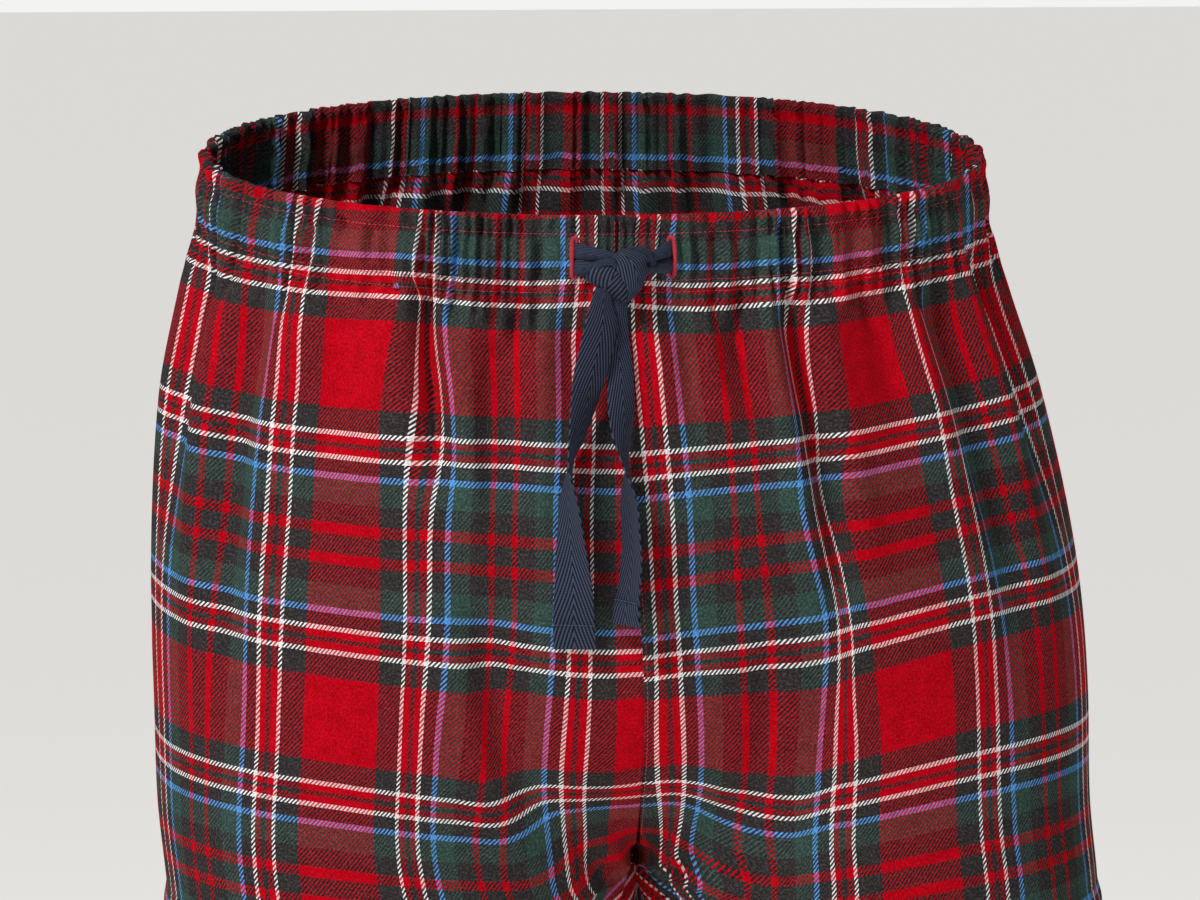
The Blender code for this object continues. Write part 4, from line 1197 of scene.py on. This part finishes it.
TAIL_STATIONS = 130
TAIL_HEM_GROOVE = (1.5 * MM, 1.1 * MM)     # depth and half width
TAIL_HEM_STITCHES = (0.96, 2.3 * MM)       # the share of the width that they take up, and their pitch
TAIL_HEM_PLACES = 30


def tail_hem(middles, wides, thicks, widths, to_end):
    """The row of stitches across each face of a tail, where its end is turned up."""
    station = int(np.argmin(np.abs(to_end - TAPE_HEM)))
    share, pitch = TAIL_HEM_STITCHES
    t = np.linspace(-share, share, TAIL_HEM_PLACES)
    lines = []
    for face in (1.0, -1.0):
        out = thicks[station] * face
        rise = face * TAPE_CUP * (1 - t**2) + TAPE_HEM_THICK * 0.44
        line = middles[station] + wides[station] * (t * widths[station] / 2)[:, None] + out * rise[:, None]
        lines.append(along_line(line, np.tile(out, (TAIL_HEM_PLACES, 1)), pitch))
    return lines


class PYJAMAS_OT_tails(bpy.types.Operator):
    """Make the drawcord's two free ends, each turned up and stitched"""

    bl_idname = "pyjamas.tails"
    bl_label = "Drawcord Ends"

    def execute(self, context):
        for name, rows in TAILS.items():
            middles, wides, thicks, widths = tail_sections(rows, TAIL_STATIONS)
            along = reach_along(middles)
            to_end = along[-1] - along
            groove, half_width = TAIL_HEM_GROOVE
            thickness = np.where(to_end < TAPE_HEM, TAPE_HEM_THICK, TAPE_THICK)
            thickness = thickness - groove * bell((to_end - TAPE_HEM) / half_width)
            cup = np.full(TAIL_STATIONS, TAPE_CUP)
            tail = ribbon(f"drawcord_tail_{name}", middles, wides, thicks, widths, thickness, cup,
                          materials()["tape"])
            dress(tail, "cotton_tape", f"tape_tail_{name}")
            hem = tail_hem(middles, wides, thicks, widths, to_end)
            sizes = context.scene.trouser_sizes
            stitches = sewn(f"drawcord_hem_{name}", hem, sizes.stitch_length, sizes.thread,
                            materials()["tape_thread"])
            dress(stitches, "cotton_tape")
        return {"FINISHED"}


BAND_STATIONS = 40
BAND_THICK = 1.0 * MM
KNOT_INSIDE = [
    # across, drop, standing off the casing, half height, in mm
    (-9.5, 24.0, 4.0, 3.0),
    (-7.0, 24.5, 7.0, 6.0),
    (0.0, 24.6, 8.6, 7.6),
    (7.0, 24.4, 8.2, 7.0),
    (12.5, 23.5, 6.0, 4.0),
]
KNOT_BANDS = {
    # each: one edge's across, drop and standing off the casing in mm, the other's, how far it bows out
    "run_right_upper": [
        (-18.6, 12.2, -0.3, -18.8, 19.6, -0.3, 0.6),
        (-15.5, 12.8, 2.0, -15.8, 19.9, 1.6, 2.0),
        (-10.0, 13.8, 4.6, -10.5, 20.6, 3.8, 2.2),
        (-5.5, 15.0, 7.0, -6.0, 21.4, 6.2, 2.0),
        (-2.0, 16.2, 9.0, -2.5, 21.5, 8.0, 1.6),
    ],
    "run_right_lower": [
        (-18.8, 19.4, -0.3, -18.6, 26.8, -0.3, 0.6),
        (-15.8, 19.8, 1.8, -15.6, 26.9, 1.9, 2.0),
        (-11.5, 20.4, 4.2, -11.5, 26.9, 4.2, 2.2),
        (-8.0, 20.9, 6.8, -8.0, 26.6, 6.8, 1.8),
        (-4.0, 21.5, 7.6, -4.0, 26.0, 7.6, 1.2),
    ],
    "run_left_upper": [
        (24.0, 11.4, -0.3, 24.2, 19.0, -0.3, 0.6),
        (21.0, 12.6, 2.2, 21.2, 19.3, 1.6, 2.0),
        (17.5, 14.4, 4.8, 17.7, 20.0, 4.2, 2.2),
        (13.5, 16.2, 7.2, 13.5, 21.0, 7.0, 2.0),
        (9.5, 17.6, 8.4, 9.5, 21.8, 8.2, 1.4),
    ],
    "run_left_lower": [
        (24.2, 18.8, -0.3, 24.0, 26.2, -0.3, 0.6),
        (21.2, 19.2, 1.8, 21.0, 26.0, 2.0, 2.0),
        (17.5, 19.8, 4.4, 17.2, 25.6, 4.4, 2.2),
        (12.5, 20.8, 7.0, 12.5, 25.2, 7.0, 1.8),
        (8.5, 21.4, 8.2, 8.5, 24.8, 8.2, 1.0),
    ],
    "knot_top": [
        (-3.6, 20.4, 8.0, -1.0, 22.6, 9.0, 0.6),
        (-1.2, 16.6, 9.6, 1.0, 20.2, 11.5, 1.0),
        (3.6, 13.7, 9.8, 3.6, 17.6, 12.4, 1.2),
        (8.6, 13.3, 9.6, 8.4, 17.0, 12.4, 1.2),
        (13.0, 14.3, 9.0, 11.8, 18.0, 11.6, 1.0),
        (16.0, 17.2, 7.0, 13.6, 20.2, 9.6, 0.8),
        (16.9, 21.6, 5.0, 14.0, 23.0, 7.4, 0.6),
        (16.2, 25.6, 3.6, 13.4, 26.4, 5.6, 0.4),
    ],
    "knot_under": [
        (-12.4, 29.2, 4.6, 4.2, 38.6, 5.0, 0.6),
        (-14.6, 27.2, 7.6, 4.4, 36.6, 8.2, 1.0),
        (-13.4, 24.2, 10.0, 4.8, 34.0, 10.2, 1.6),
        (-11.0, 21.6, 11.4, 5.0, 31.2, 11.2, 1.8),
        (-7.8, 19.8, 12.0, 5.0, 28.2, 11.6, 1.6),
        (-4.4, 18.6, 11.6, 4.6, 24.8, 11.4, 1.0),
    ],
    "knot_face": [
        (-4.6, 19.6, 10.6, 1.0, 14.4, 10.4, 0.6),
        (-3.2, 19.9, 13.0, 6.8, 14.6, 12.6, 1.4),
        (-1.6, 22.4, 14.4, 11.2, 17.0, 12.8, 2.0),
        (0.4, 26.0, 15.0, 12.2, 21.8, 12.4, 2.2),
        (2.6, 29.8, 14.6, 11.6, 27.0, 11.8, 2.0),
        (3.8, 33.2, 13.0, 9.2, 32.0, 10.6, 1.4),
        (3.9, 35.8, 10.4, 6.2, 35.8, 8.8, 0.6),
        (3.4, 37.2, 7.6, 4.8, 37.4, 6.4, 0.3),
    ],
    "knot_twist": [
        (-12.6, 20.8, 8.2, -12.2, 24.6, 8.6, 0.6),
        (-9.4, 19.0, 11.4, -9.0, 22.6, 12.2, 0.8),
        (-5.6, 17.8, 13.0, -6.0, 21.0, 13.8, 0.8),
        (-2.6, 18.2, 13.8, -3.8, 21.0, 14.6, 0.6),
        (-0.8, 20.8, 13.8, -2.6, 23.0, 14.4, 0.4),
    ],
}


def strip(name, rows, count, thickness, material, across_count=11):
    """A stretch of the tape between two edges, bowed out across its middle."""
    table = smooth_rows([[value * MM for value in row] for row in rows], count).T
    first, second, bow = before_front(*table[0:3]), before_front(*table[3:6]), table[6]
    middles = (first + second) / 2
    wides = second - first
    widths = np.linalg.norm(wides, axis=1)
    wides = wides / widths[:, None]
    ways = unit(np.gradient(middles, axis=0))
    thicks = unit(np.cross(ways, wides))
    facing_front = np.sign(-thicks[:, 1]).sum() >= 0
    thicks = thicks if facing_front else -thicks
    thicknesses = np.full(count, thickness)
    return ribbon(name, middles, wides, thicks, widths, thicknesses, bow, material, across_count)


class PYJAMAS_OT_knot(bpy.types.Operator):
    """Tie the drawcord in front: its two folded runs from the buttonholes and the knot's bands"""

    bl_idname = "pyjamas.knot"
    bl_label = "Drawcord Knot"

    def execute(self, context):
        tape = materials()["tape"]
        self.pack_middle(tape)
        for name, rows in KNOT_BANDS.items():
            made = strip(f"drawcord_{name}", rows, BAND_STATIONS, BAND_THICK, tape)
            part, way = name.split("_")[:2]
            dress(made, "cotton_tape", f"tape_run_{way}" if part == "run" else "tape_knot")
        return {"FINISHED"}

    def pack_middle(self, tape):
        """The tape packed inside the knot, seen only through its gaps."""
        across, drop, off, half = smooth_rows([[value * MM for value in row] for row in KNOT_INSIDE], 24).T
        wides = np.tile((0.0, 0.0, -1.0), (len(half), 1))
        thicks = np.tile((0.0, -1.0, 0.0), (len(half), 1))
        made = ribbon("drawcord_knot_inside", before_front(across, drop, off), wides, thicks,
                      2 * half, 0.9 * half, 0.1 * half, tape, 9)
        dress(made, "cotton_tape", "tape_knot")


# ---- sewing -----------------------------------------------------------------------------------------------
def along_line(points, normals, pitch):
    """Evenly spaced places along a line: their middles, ways along and ways out."""
    run = reach_along(points)
    places = np.arange(pitch / 2, run[-1], pitch)

    def read(at, values):
        return np.stack([np.interp(at, run, values[:, axis]) for axis in range(3)], axis=1)

    ways = unit(read(places + 0.3 * pitch, points) - read(places - 0.3 * pitch, points))
    return read(places, points), ways, unit(read(places, normals))


STITCH_SECTIONS = [
    # how far along the stitch, share of the thread's thickness, height in thicknesses
    (-1.00, 0.30, -0.45),
    (-0.75, 0.85, 0.05),
    (0.00, 1.00, 0.30),
    (0.75, 0.85, 0.05),
    (1.00, 0.30, -0.45),
]
STITCH_SIDES = 6
STITCH_SWING = 0.16                  # how much stitches turn and differ in length


def sewn(name, places, length, thread, material):
    """One piece of many stitches. places holds (middles, ways along, ways out) of each line."""
    middles, ways, outs = (np.concatenate([line[part] for line in places]) for part in range(3))
    number = np.arange(len(middles))
    swing = (uneven(number, 1) - 0.5)[:, None] * STITCH_SWING
    sides = unit(np.cross(ways, outs))
    ways = unit(ways + sides * swing)
    sides = unit(np.cross(ways, outs))
    half = length / 2 * (1.0 + STITCH_SWING * (uneven(number, 2) - 0.5))[:, None]
    turn = 2 * math.pi * np.arange(STITCH_SIDES) / STITCH_SIDES
    rings, flats = [], []
    for at, share, height in STITCH_SECTIONS:
        for angle in turn:
            rise = thread * (height + share / 2 * math.cos(angle))
            reach = thread * share / 2 * math.sin(angle)
            rings.append(middles + ways * half * at + outs * rise + sides * reach)
            flats.append((reach + at * 0.4 * MM, at + angle))
    points = np.stack(rings, axis=1)
    count = points.shape[1]
    template = np.arange(count).reshape(len(STITCH_SECTIONS), STITCH_SIDES)
    template = np.concatenate([template, template[:, :1]], axis=1)
    tube = quads(template)
    caps = np.stack([template[0, :-1], template[-1, :-1][::-1]])
    flats = np.array(flats)
    faces = []
    for corners in (tube, caps):
        all_corners = corners[None] + (np.arange(len(middles)) * count)[:, None, None]
        all_flats = np.broadcast_to(flats[corners][None], (*all_corners.shape, 2))
        faces.append((all_corners.reshape(-1, corners.shape[1]), all_flats.reshape(-1, corners.shape[1], 2)))
    return build_mesh(name, points.reshape(-1, 3), faces, material, smooth_under=70)


CENTRE_STITCHES = {-1: 1.1 * MM, 1: 1.3 * MM}      # on both sides of the centre front, in the casing
EDGE_STITCH = 1.5 * MM                            # beside the centre front seam, down to the crotch
EDGE_STITCH_TO = 0.288
HALF_GIRTH = 0.54                                 # round the hip
PLACES_ROUND = 900                                # where a line of stitches is read, round one half


def surface_line(side, shares, drops):
    cloth = half_cloth(side)
    shares, drops = np.broadcast_arrays(np.asarray(shares, float), np.asarray(drops, float))
    return cloth.at(shares, drops), cloth.at(shares, drops, cloth.normals)


class PYJAMAS_OT_sewing(bpy.types.Operator):
    """Sew the casing, the centre front and the hems"""

    bl_idname = "pyjamas.sewing"
    bl_label = "Sewing"

    def execute(self, context):
        sizes = context.scene.trouser_sizes
        pitch, length, thread = sizes.stitch_pitch, sizes.stitch_length, sizes.thread
        round_half = np.linspace(0.0, 1.0, PLACES_ROUND)
        half_waist = body_girths(np.array([20 * MM])).length[0]
        down_casing = np.linspace(2.5 * MM, CASING_HEIGHT - MM, 60)
        down_front = np.linspace(CASING_HEIGHT + MM, EDGE_STITCH_TO, 360)
        rows = {"casing": [], "centre_front": [], "hem": []}
        for side in (1, -1):
            rows["casing"] += [(side, round_half, drop) for drop in CASING_STITCH_DROPS]
            rows["hem"].append((side, round_half, HEM_STITCH_DROP))
            rows["centre_front"].append((side, CENTRE_STITCHES[side] / half_waist, down_casing))
        rows["centre_front"].append((1, EDGE_STITCH / HALF_GIRTH, down_front))
        for name, places in rows.items():
            lines = [along_line(*surface_line(*place), pitch) for place in places]
            made = sewn(f"stitches_{name}", lines, length, thread, materials()["thread"])
            dress(made, "sewing_thread")
        return {"FINISHED"}


BUTTONHOLE_HALF_WIDE = 1.15 * MM       # to the middle of its satin stitches
BUTTONHOLE_CORNERS = 5.0               # the power of its superellipse
SATIN_STITCH = {"pitch": 0.62 * MM, "length": 2.2 * MM, "thread": 0.70 * MM, "raised": 0.15 * MM}
# a thin dark sheet of painted shade, laid in each buttonhole's slit
SLOT_SHADE_SHEET = {"half_long": 8.6 * MM, "half_wide": 0.55 * MM, "thick": 0.1 * MM, "raised": 0.12 * MM}


class PYJAMAS_OT_buttonholes(bpy.types.Operator):
    """Work the two buttonholes that the drawcord comes out of, in close satin stitch"""

    bl_idname = "pyjamas.buttonholes"
    bl_label = "Buttonholes"

    def execute(self, context):
        half_long = BUTTONHOLE_HEIGHT / 2 - 0.4 * MM
        half_girth = body_girths(np.array([BUTTONHOLE_DROP])).length[0]
        cosine, sine = rounded(np.linspace(0.0, 2 * math.pi, 241), BUTTONHOLE_CORNERS)
        for name, across in BUTTONHOLE_ACROSS.items():
            side = 1 if across > 0 else -1
            shares = (abs(across) + BUTTONHOLE_HALF_WIDE * cosine) / half_girth
            points, outs = surface_line(side, shares, BUTTONHOLE_DROP + half_long * sine)
            middles, ways, outs = along_line(points, outs, SATIN_STITCH["pitch"])
            wraps = (middles + outs * SATIN_STITCH["raised"], unit(np.cross(ways, outs)), outs)
            made = sewn(f"buttonhole_{name}", [wraps], SATIN_STITCH["length"], SATIN_STITCH["thread"],
                        materials()["thread"])
            dress(made, "sewing_thread")
            self.lay_slot_shade(name, side, abs(across), half_girth)
        return {"FINISHED"}

    def lay_slot_shade(self, name, side, across, half_girth):
        """A thin dark sheet inside the satin stitches: painted shade where the slit is."""
        drops = BUTTONHOLE_DROP + np.linspace(-SLOT_SHADE_SHEET["half_long"], SLOT_SHADE_SHEET["half_long"], 25)
        edges = []
        for reach in (-SLOT_SHADE_SHEET["half_wide"], SLOT_SHADE_SHEET["half_wide"]):
            points, outs = surface_line(side, (across + reach) / half_girth, drops)
            edges.append(points + outs * SLOT_SHADE_SHEET["raised"])
        first, last = edges if side > 0 else edges[::-1]
        grid = np.stack([first, (first + last) / 2, last], axis=1)
        outs = np.repeat(outs[:, None], 3, axis=1)
        wall = np.full(len(grid), SLOT_SHADE_SHEET["thick"])
        flat = np.zeros((*grid.shape[:2], 2))
        slot = shell(f"buttonhole_slot_{name}", grid, flat, outs, wall, materials()["slot"])
        dress(slot, "sewing_thread")


# ---- the stage --------------------------------------------------------------------------------------------
CENTRE_FRONT_TOP = Vector((0.0, -0.120, -0.019))
PICTURE = (1200, 900)
CENTRE_FRONT_PIXEL = (617, 215)      # where the top of the centre front lies in the picture
PIXELS_PER_METRE = 2250              # there
CAMERA_YAW = math.radians(5.0)
CAMERA_TILT = math.radians(7.0)
CAMERA_AWAY = 3.0
SENSOR_WIDE = 36.0                   # millimetres
FLOOR_BELOW = 0.03
FLOOR_REACH = 20.0
FLOOR_GLOW = 0.75                    # of an even, shadowless sweep of paper
SKY = (1.0, 0.99, 0.98, 1.0)
SKY_STRENGTH = 0.12
BACKDROP = (0.90, 0.895, 0.89, 1.0)  # what the camera sees in its place
LIT_POINT = Vector((0.0, -0.05, -0.22))
SOFTBOXES = (
    # name, where it stands, its side in metres, watts
    ("key", (-1.24, -1.36, 1.80), 0.55, 50.0),
    ("fill", (1.2, -1.7, 1.7), 1.2, 1.6),
    ("back", (0.9, 2.6, 1.8), 1.6, 12.0),
)


class PYJAMAS_OT_stage(bpy.types.Operator):
    """Set the camera, the pale floor and the soft studio light"""

    bl_idname = "pyjamas.stage"
    bl_label = "Studio"

    def execute(self, context):
        self.set_camera(context)
        self.lay_floor(context)
        self.light(context)
        return {"FINISHED"}

    def set_camera(self, context):
        forward = Vector((
            math.sin(CAMERA_YAW) * math.cos(CAMERA_TILT),
            math.cos(CAMERA_YAW) * math.cos(CAMERA_TILT),
            -math.sin(CAMERA_TILT),
        ))
        right = Vector((math.cos(CAMERA_YAW), -math.sin(CAMERA_YAW), 0.0))
        up = right.cross(forward)
        off_right = (CENTRE_FRONT_PIXEL[0] - PICTURE[0] / 2) / PIXELS_PER_METRE
        off_down = (CENTRE_FRONT_PIXEL[1] - PICTURE[1] / 2) / PIXELS_PER_METRE
        place = CENTRE_FRONT_TOP - forward * CAMERA_AWAY - right * off_right + up * off_down
        lens = bpy.data.cameras.new("camera")
        lens.sensor_width = SENSOR_WIDE
        lens.lens = PIXELS_PER_METRE * CAMERA_AWAY / PICTURE[0] * lens.sensor_width
        lens.clip_end = 100.0
        camera = bpy.data.objects.new("camera", lens)
        matrix = Matrix((right, up, -forward)).transposed().to_4x4()
        matrix.translation = place
        camera.matrix_world = matrix
        context.scene.collection.objects.link(camera)
        context.scene.camera = camera
        context.scene.view_settings.view_transform = "Standard"

    def lay_floor(self, context):
        mesh = bpy.data.meshes.new("floor")
        level = float(CAD_BOX[0].z) - FLOOR_BELOW
        corners = [(x * FLOOR_REACH, y * FLOOR_REACH, level) for x, y in ((-1, -1), (1, -1), (1, 1), (-1, 1))]
        mesh.from_pydata(corners, [], [(0, 1, 2, 3)])
        paper, tree, shader = new_material("matt_background_paper")
        colour = (*context.scene.trouser_colours.floor, 1.0)
        feed(tree, shader, {"Base Color": colour, "Roughness": 0.9, "Emission Color": colour,
                            "Emission Strength": FLOOR_GLOW})
        mesh.materials.append(paper)
        floor = bpy.data.objects.new("floor", mesh)
        context.scene.collection.objects.link(floor)

    def light(self, context):
        world = bpy.data.worlds.new("studio")
        context.scene.world = world
        world.use_nodes = True
        tree = world.node_tree
        ground = tree.nodes["Background"]
        feed(tree, ground, {"Color": SKY, "Strength": SKY_STRENGTH})
        seen = add_node(tree, "ShaderNodeBackground", {"Color": BACKDROP, "Strength": 1.0})
        camera_ray = add_node(tree, "ShaderNodeLightPath", {}).outputs["Is Camera Ray"]
        shaders = {0: camera_ray, 1: ground.outputs["Background"], 2: seen.outputs["Background"]}
        mix = add_node(tree, "ShaderNodeMixShader", shaders)
        feed(tree, tree.nodes["World Output"], {"Surface": mix.outputs["Shader"]})
        for name, place, size, power in SOFTBOXES:
            lamp = bpy.data.lights.new(name, "AREA")
            lamp.size, lamp.energy = size, power
            made = bpy.data.objects.new(name, lamp)
            made.location = place
            made.rotation_euler = (LIT_POINT - Vector(place)).to_track_quat("-Z", "Y").to_euler()
            context.scene.collection.objects.link(made)


# ---- the casing -------------------------------------------------------------------------------------------
CASING_INSIDE = [
    # drop down the casing, stands out
    (0.0 * MM, -1.2 * MM),
    (0.25 * MM, -1.8 * MM),
    (0.9 * MM, -2.4 * MM),
    (2.2 * MM, -2.8 * MM),
    (8.5 * MM, -2.3 * MM),
    (18.0 * MM, -2.8 * MM),
    (30.0 * MM, -2.3 * MM),
    (CASING_HEIGHT, -2.7 * MM),
]
CASING_INSIDE_ROWS = 15
CASING_INSIDE_CROWD_UP = 1.7


def casing_inside(side):
    """The inside of one half's casing from just under the fold to its foot, and its lengths down."""
    share_down = np.arange(1, CASING_INSIDE_ROWS + 1) / CASING_INSIDE_ROWS
    down = CASING_HEIGHT * share_down**CASING_INSIDE_CROWD_UP
    rows = (down, down, np.zeros(len(down)))
    shares = half_cloth(side).shares
    plain, length, _ = plain_form(side, rows, shares)
    out = profile(CASING_INSIDE, down)
    height = relief(side, shares[None, :], down[:, None], length) + out
    return plain + outward(plain, side, rows[2]) * height[..., None]


class PYJAMAS_OT_casing(bpy.types.Operator):
    """Make the gathered waist casing, folded over its elastic"""

    bl_idname = "pyjamas.casing"
    bl_label = "Waist Casing"

    def execute(self, context):
        halves = []
        for side in (-1, 1):
            cloth, inside = half_cloth(side), casing_inside(side)
            outside = cloth.points[:CASING_ROWS]
            grid = np.concatenate([inside[::-1], outside])
            facing = outward(grid, side, np.zeros(len(grid)))
            facing[-CASING_ROWS + 2:] = cloth.normals[2:CASING_ROWS]
            above = -reach_along(np.concatenate([outside[:1], inside]))[:0:-1]
            flats = []
            for flat in cloth.flat:
                top = np.broadcast_to(flat[:1], inside.shape[:2] + (2,)).copy()
                top[..., 1] += above
                flats.append(np.concatenate([top, flat[:CASING_ROWS]]))
            if side < 0:
                grid, facing, flats = grid[:, ::-1], facing[:, ::-1], [flat[:, ::-1] for flat in flats]
            halves.append((grid, facing, flats))
        columns = [grid.shape[1] for grid, _, _ in halves]
        points = np.concatenate([halves[0][0][:, :-1], halves[1][0][:, :-1]], axis=1)
        rows, around = points.shape[:2]
        index = np.arange(rows * around).reshape(rows, around)
        faces = []
        start = 0
        for (grid, facing, flats), count, side in zip(halves, columns, (-1, 1)):
            at = np.arange(start, start + count) % around
            seam = half_cloth(side).seam
            cuts = (0, seam, count - 1) if side > 0 else (0, count - 1 - seam, count - 1)
            for part, (first, last) in enumerate(zip(cuts[:-1], cuts[1:])):
                flat = flats[part] if side > 0 else flats[1 - part]
                piece = slice(first, last + 1)
                held = index[:, at[piece]]
                faces.append((quads(held), corner_values(flat[:, piece]), corner_values(facing[:, piece])))
                foot = np.stack([held[-1], held[0]])
                foot_flat = np.stack([flat[-1, piece], flat[-1, piece]])
                down = np.zeros((2, last + 1 - first, 3))
                down[..., 2] = -1.0
                faces.append((quads(foot), corner_values(foot_flat), corner_values(down)))
            start += count - 1
        casing = build_mesh("waist_casing_cloth", points.reshape(-1, 3), faces, materials()["cloth"])
        dress(casing, "brushed_cotton_check", "waist_casing")
        return {"FINISHED"}


class PYJAMAS_OT_panels(bpy.types.Operator):
    """Make the four leg panels as hanging cloth, gathered at the waist"""

    bl_idname = "pyjamas.panels"
    bl_label = "Leg Panels"

    def execute(self, context):
        sizes = context.scene.trouser_sizes
        for side, side_name in ((1, "left"), (-1, "right")):
            cloth = half_cloth(side)
            first = CASING_ROWS - 1
            hem_from = HEM_DROP - HEM_HEIGHT
            wall = np.where(cloth.rows[0][first:] > hem_from, sizes.hem, sizes.cloth)
            for part, columns, flat in (
                ("front", slice(0, cloth.seam + 1), cloth.flat[0]),
                ("back", slice(cloth.seam, None), cloth.flat[1]),
            ):
                grids = [grid[first:, columns] for grid in (cloth.points, flat, cloth.normals)]
                if side < 0:
                    grids = [grid[:, ::-1] for grid in grids]
                panel = shell(f"panel_{part}_{side_name}", *grids, wall, materials()["cloth"])
                dress(panel, "brushed_cotton_check", f"{part}_{side_name}")
        return {"FINISHED"}


# ---- the add-on -------------------------------------------------------------------------------------------
OPERATORS = (
    PYJAMAS_OT_stage,
    PYJAMAS_OT_tails,
    PYJAMAS_OT_knot,
    PYJAMAS_OT_casing,
    PYJAMAS_OT_panels,
    PYJAMAS_OT_sewing,
    PYJAMAS_OT_buttonholes,
)


class PYJAMAS_PT_panel(bpy.types.Panel):
    """Lists the steps that make the trousers"""

    bl_idname = "PYJAMAS_PT_panel"
    bl_label = "Pyjama Trousers"
    bl_space_type = "VIEW_3D"
    bl_region_type = "UI"
    bl_category = "Pyjamas"

    def draw(self, context):
        layout = self.layout
        for group in (context.scene.trouser_sizes, context.scene.trouser_colours):
            box = layout.box()
            for name in group.__annotations__:
                box.prop(group, name)
        for operator in OPERATORS:
            layout.operator(operator.bl_idname)


CLASSES = (TrouserSizes, TrouserColours, *OPERATORS, PYJAMAS_PT_panel)


def register():
    for item in CLASSES:
        bpy.utils.register_class(item)
    bpy.types.Scene.trouser_sizes = PointerProperty(type=TrouserSizes)
    bpy.types.Scene.trouser_colours = PointerProperty(type=TrouserColours)


def unregister():
    del bpy.types.Scene.trouser_colours
    del bpy.types.Scene.trouser_sizes
    for item in reversed(CLASSES):
        bpy.utils.unregister_class(item)


def main():
    register()
    for operator in OPERATORS:
        group, name = operator.bl_idname.split(".")
        getattr(getattr(bpy.ops, group), name)()


if __name__ == "__main__":
    main()
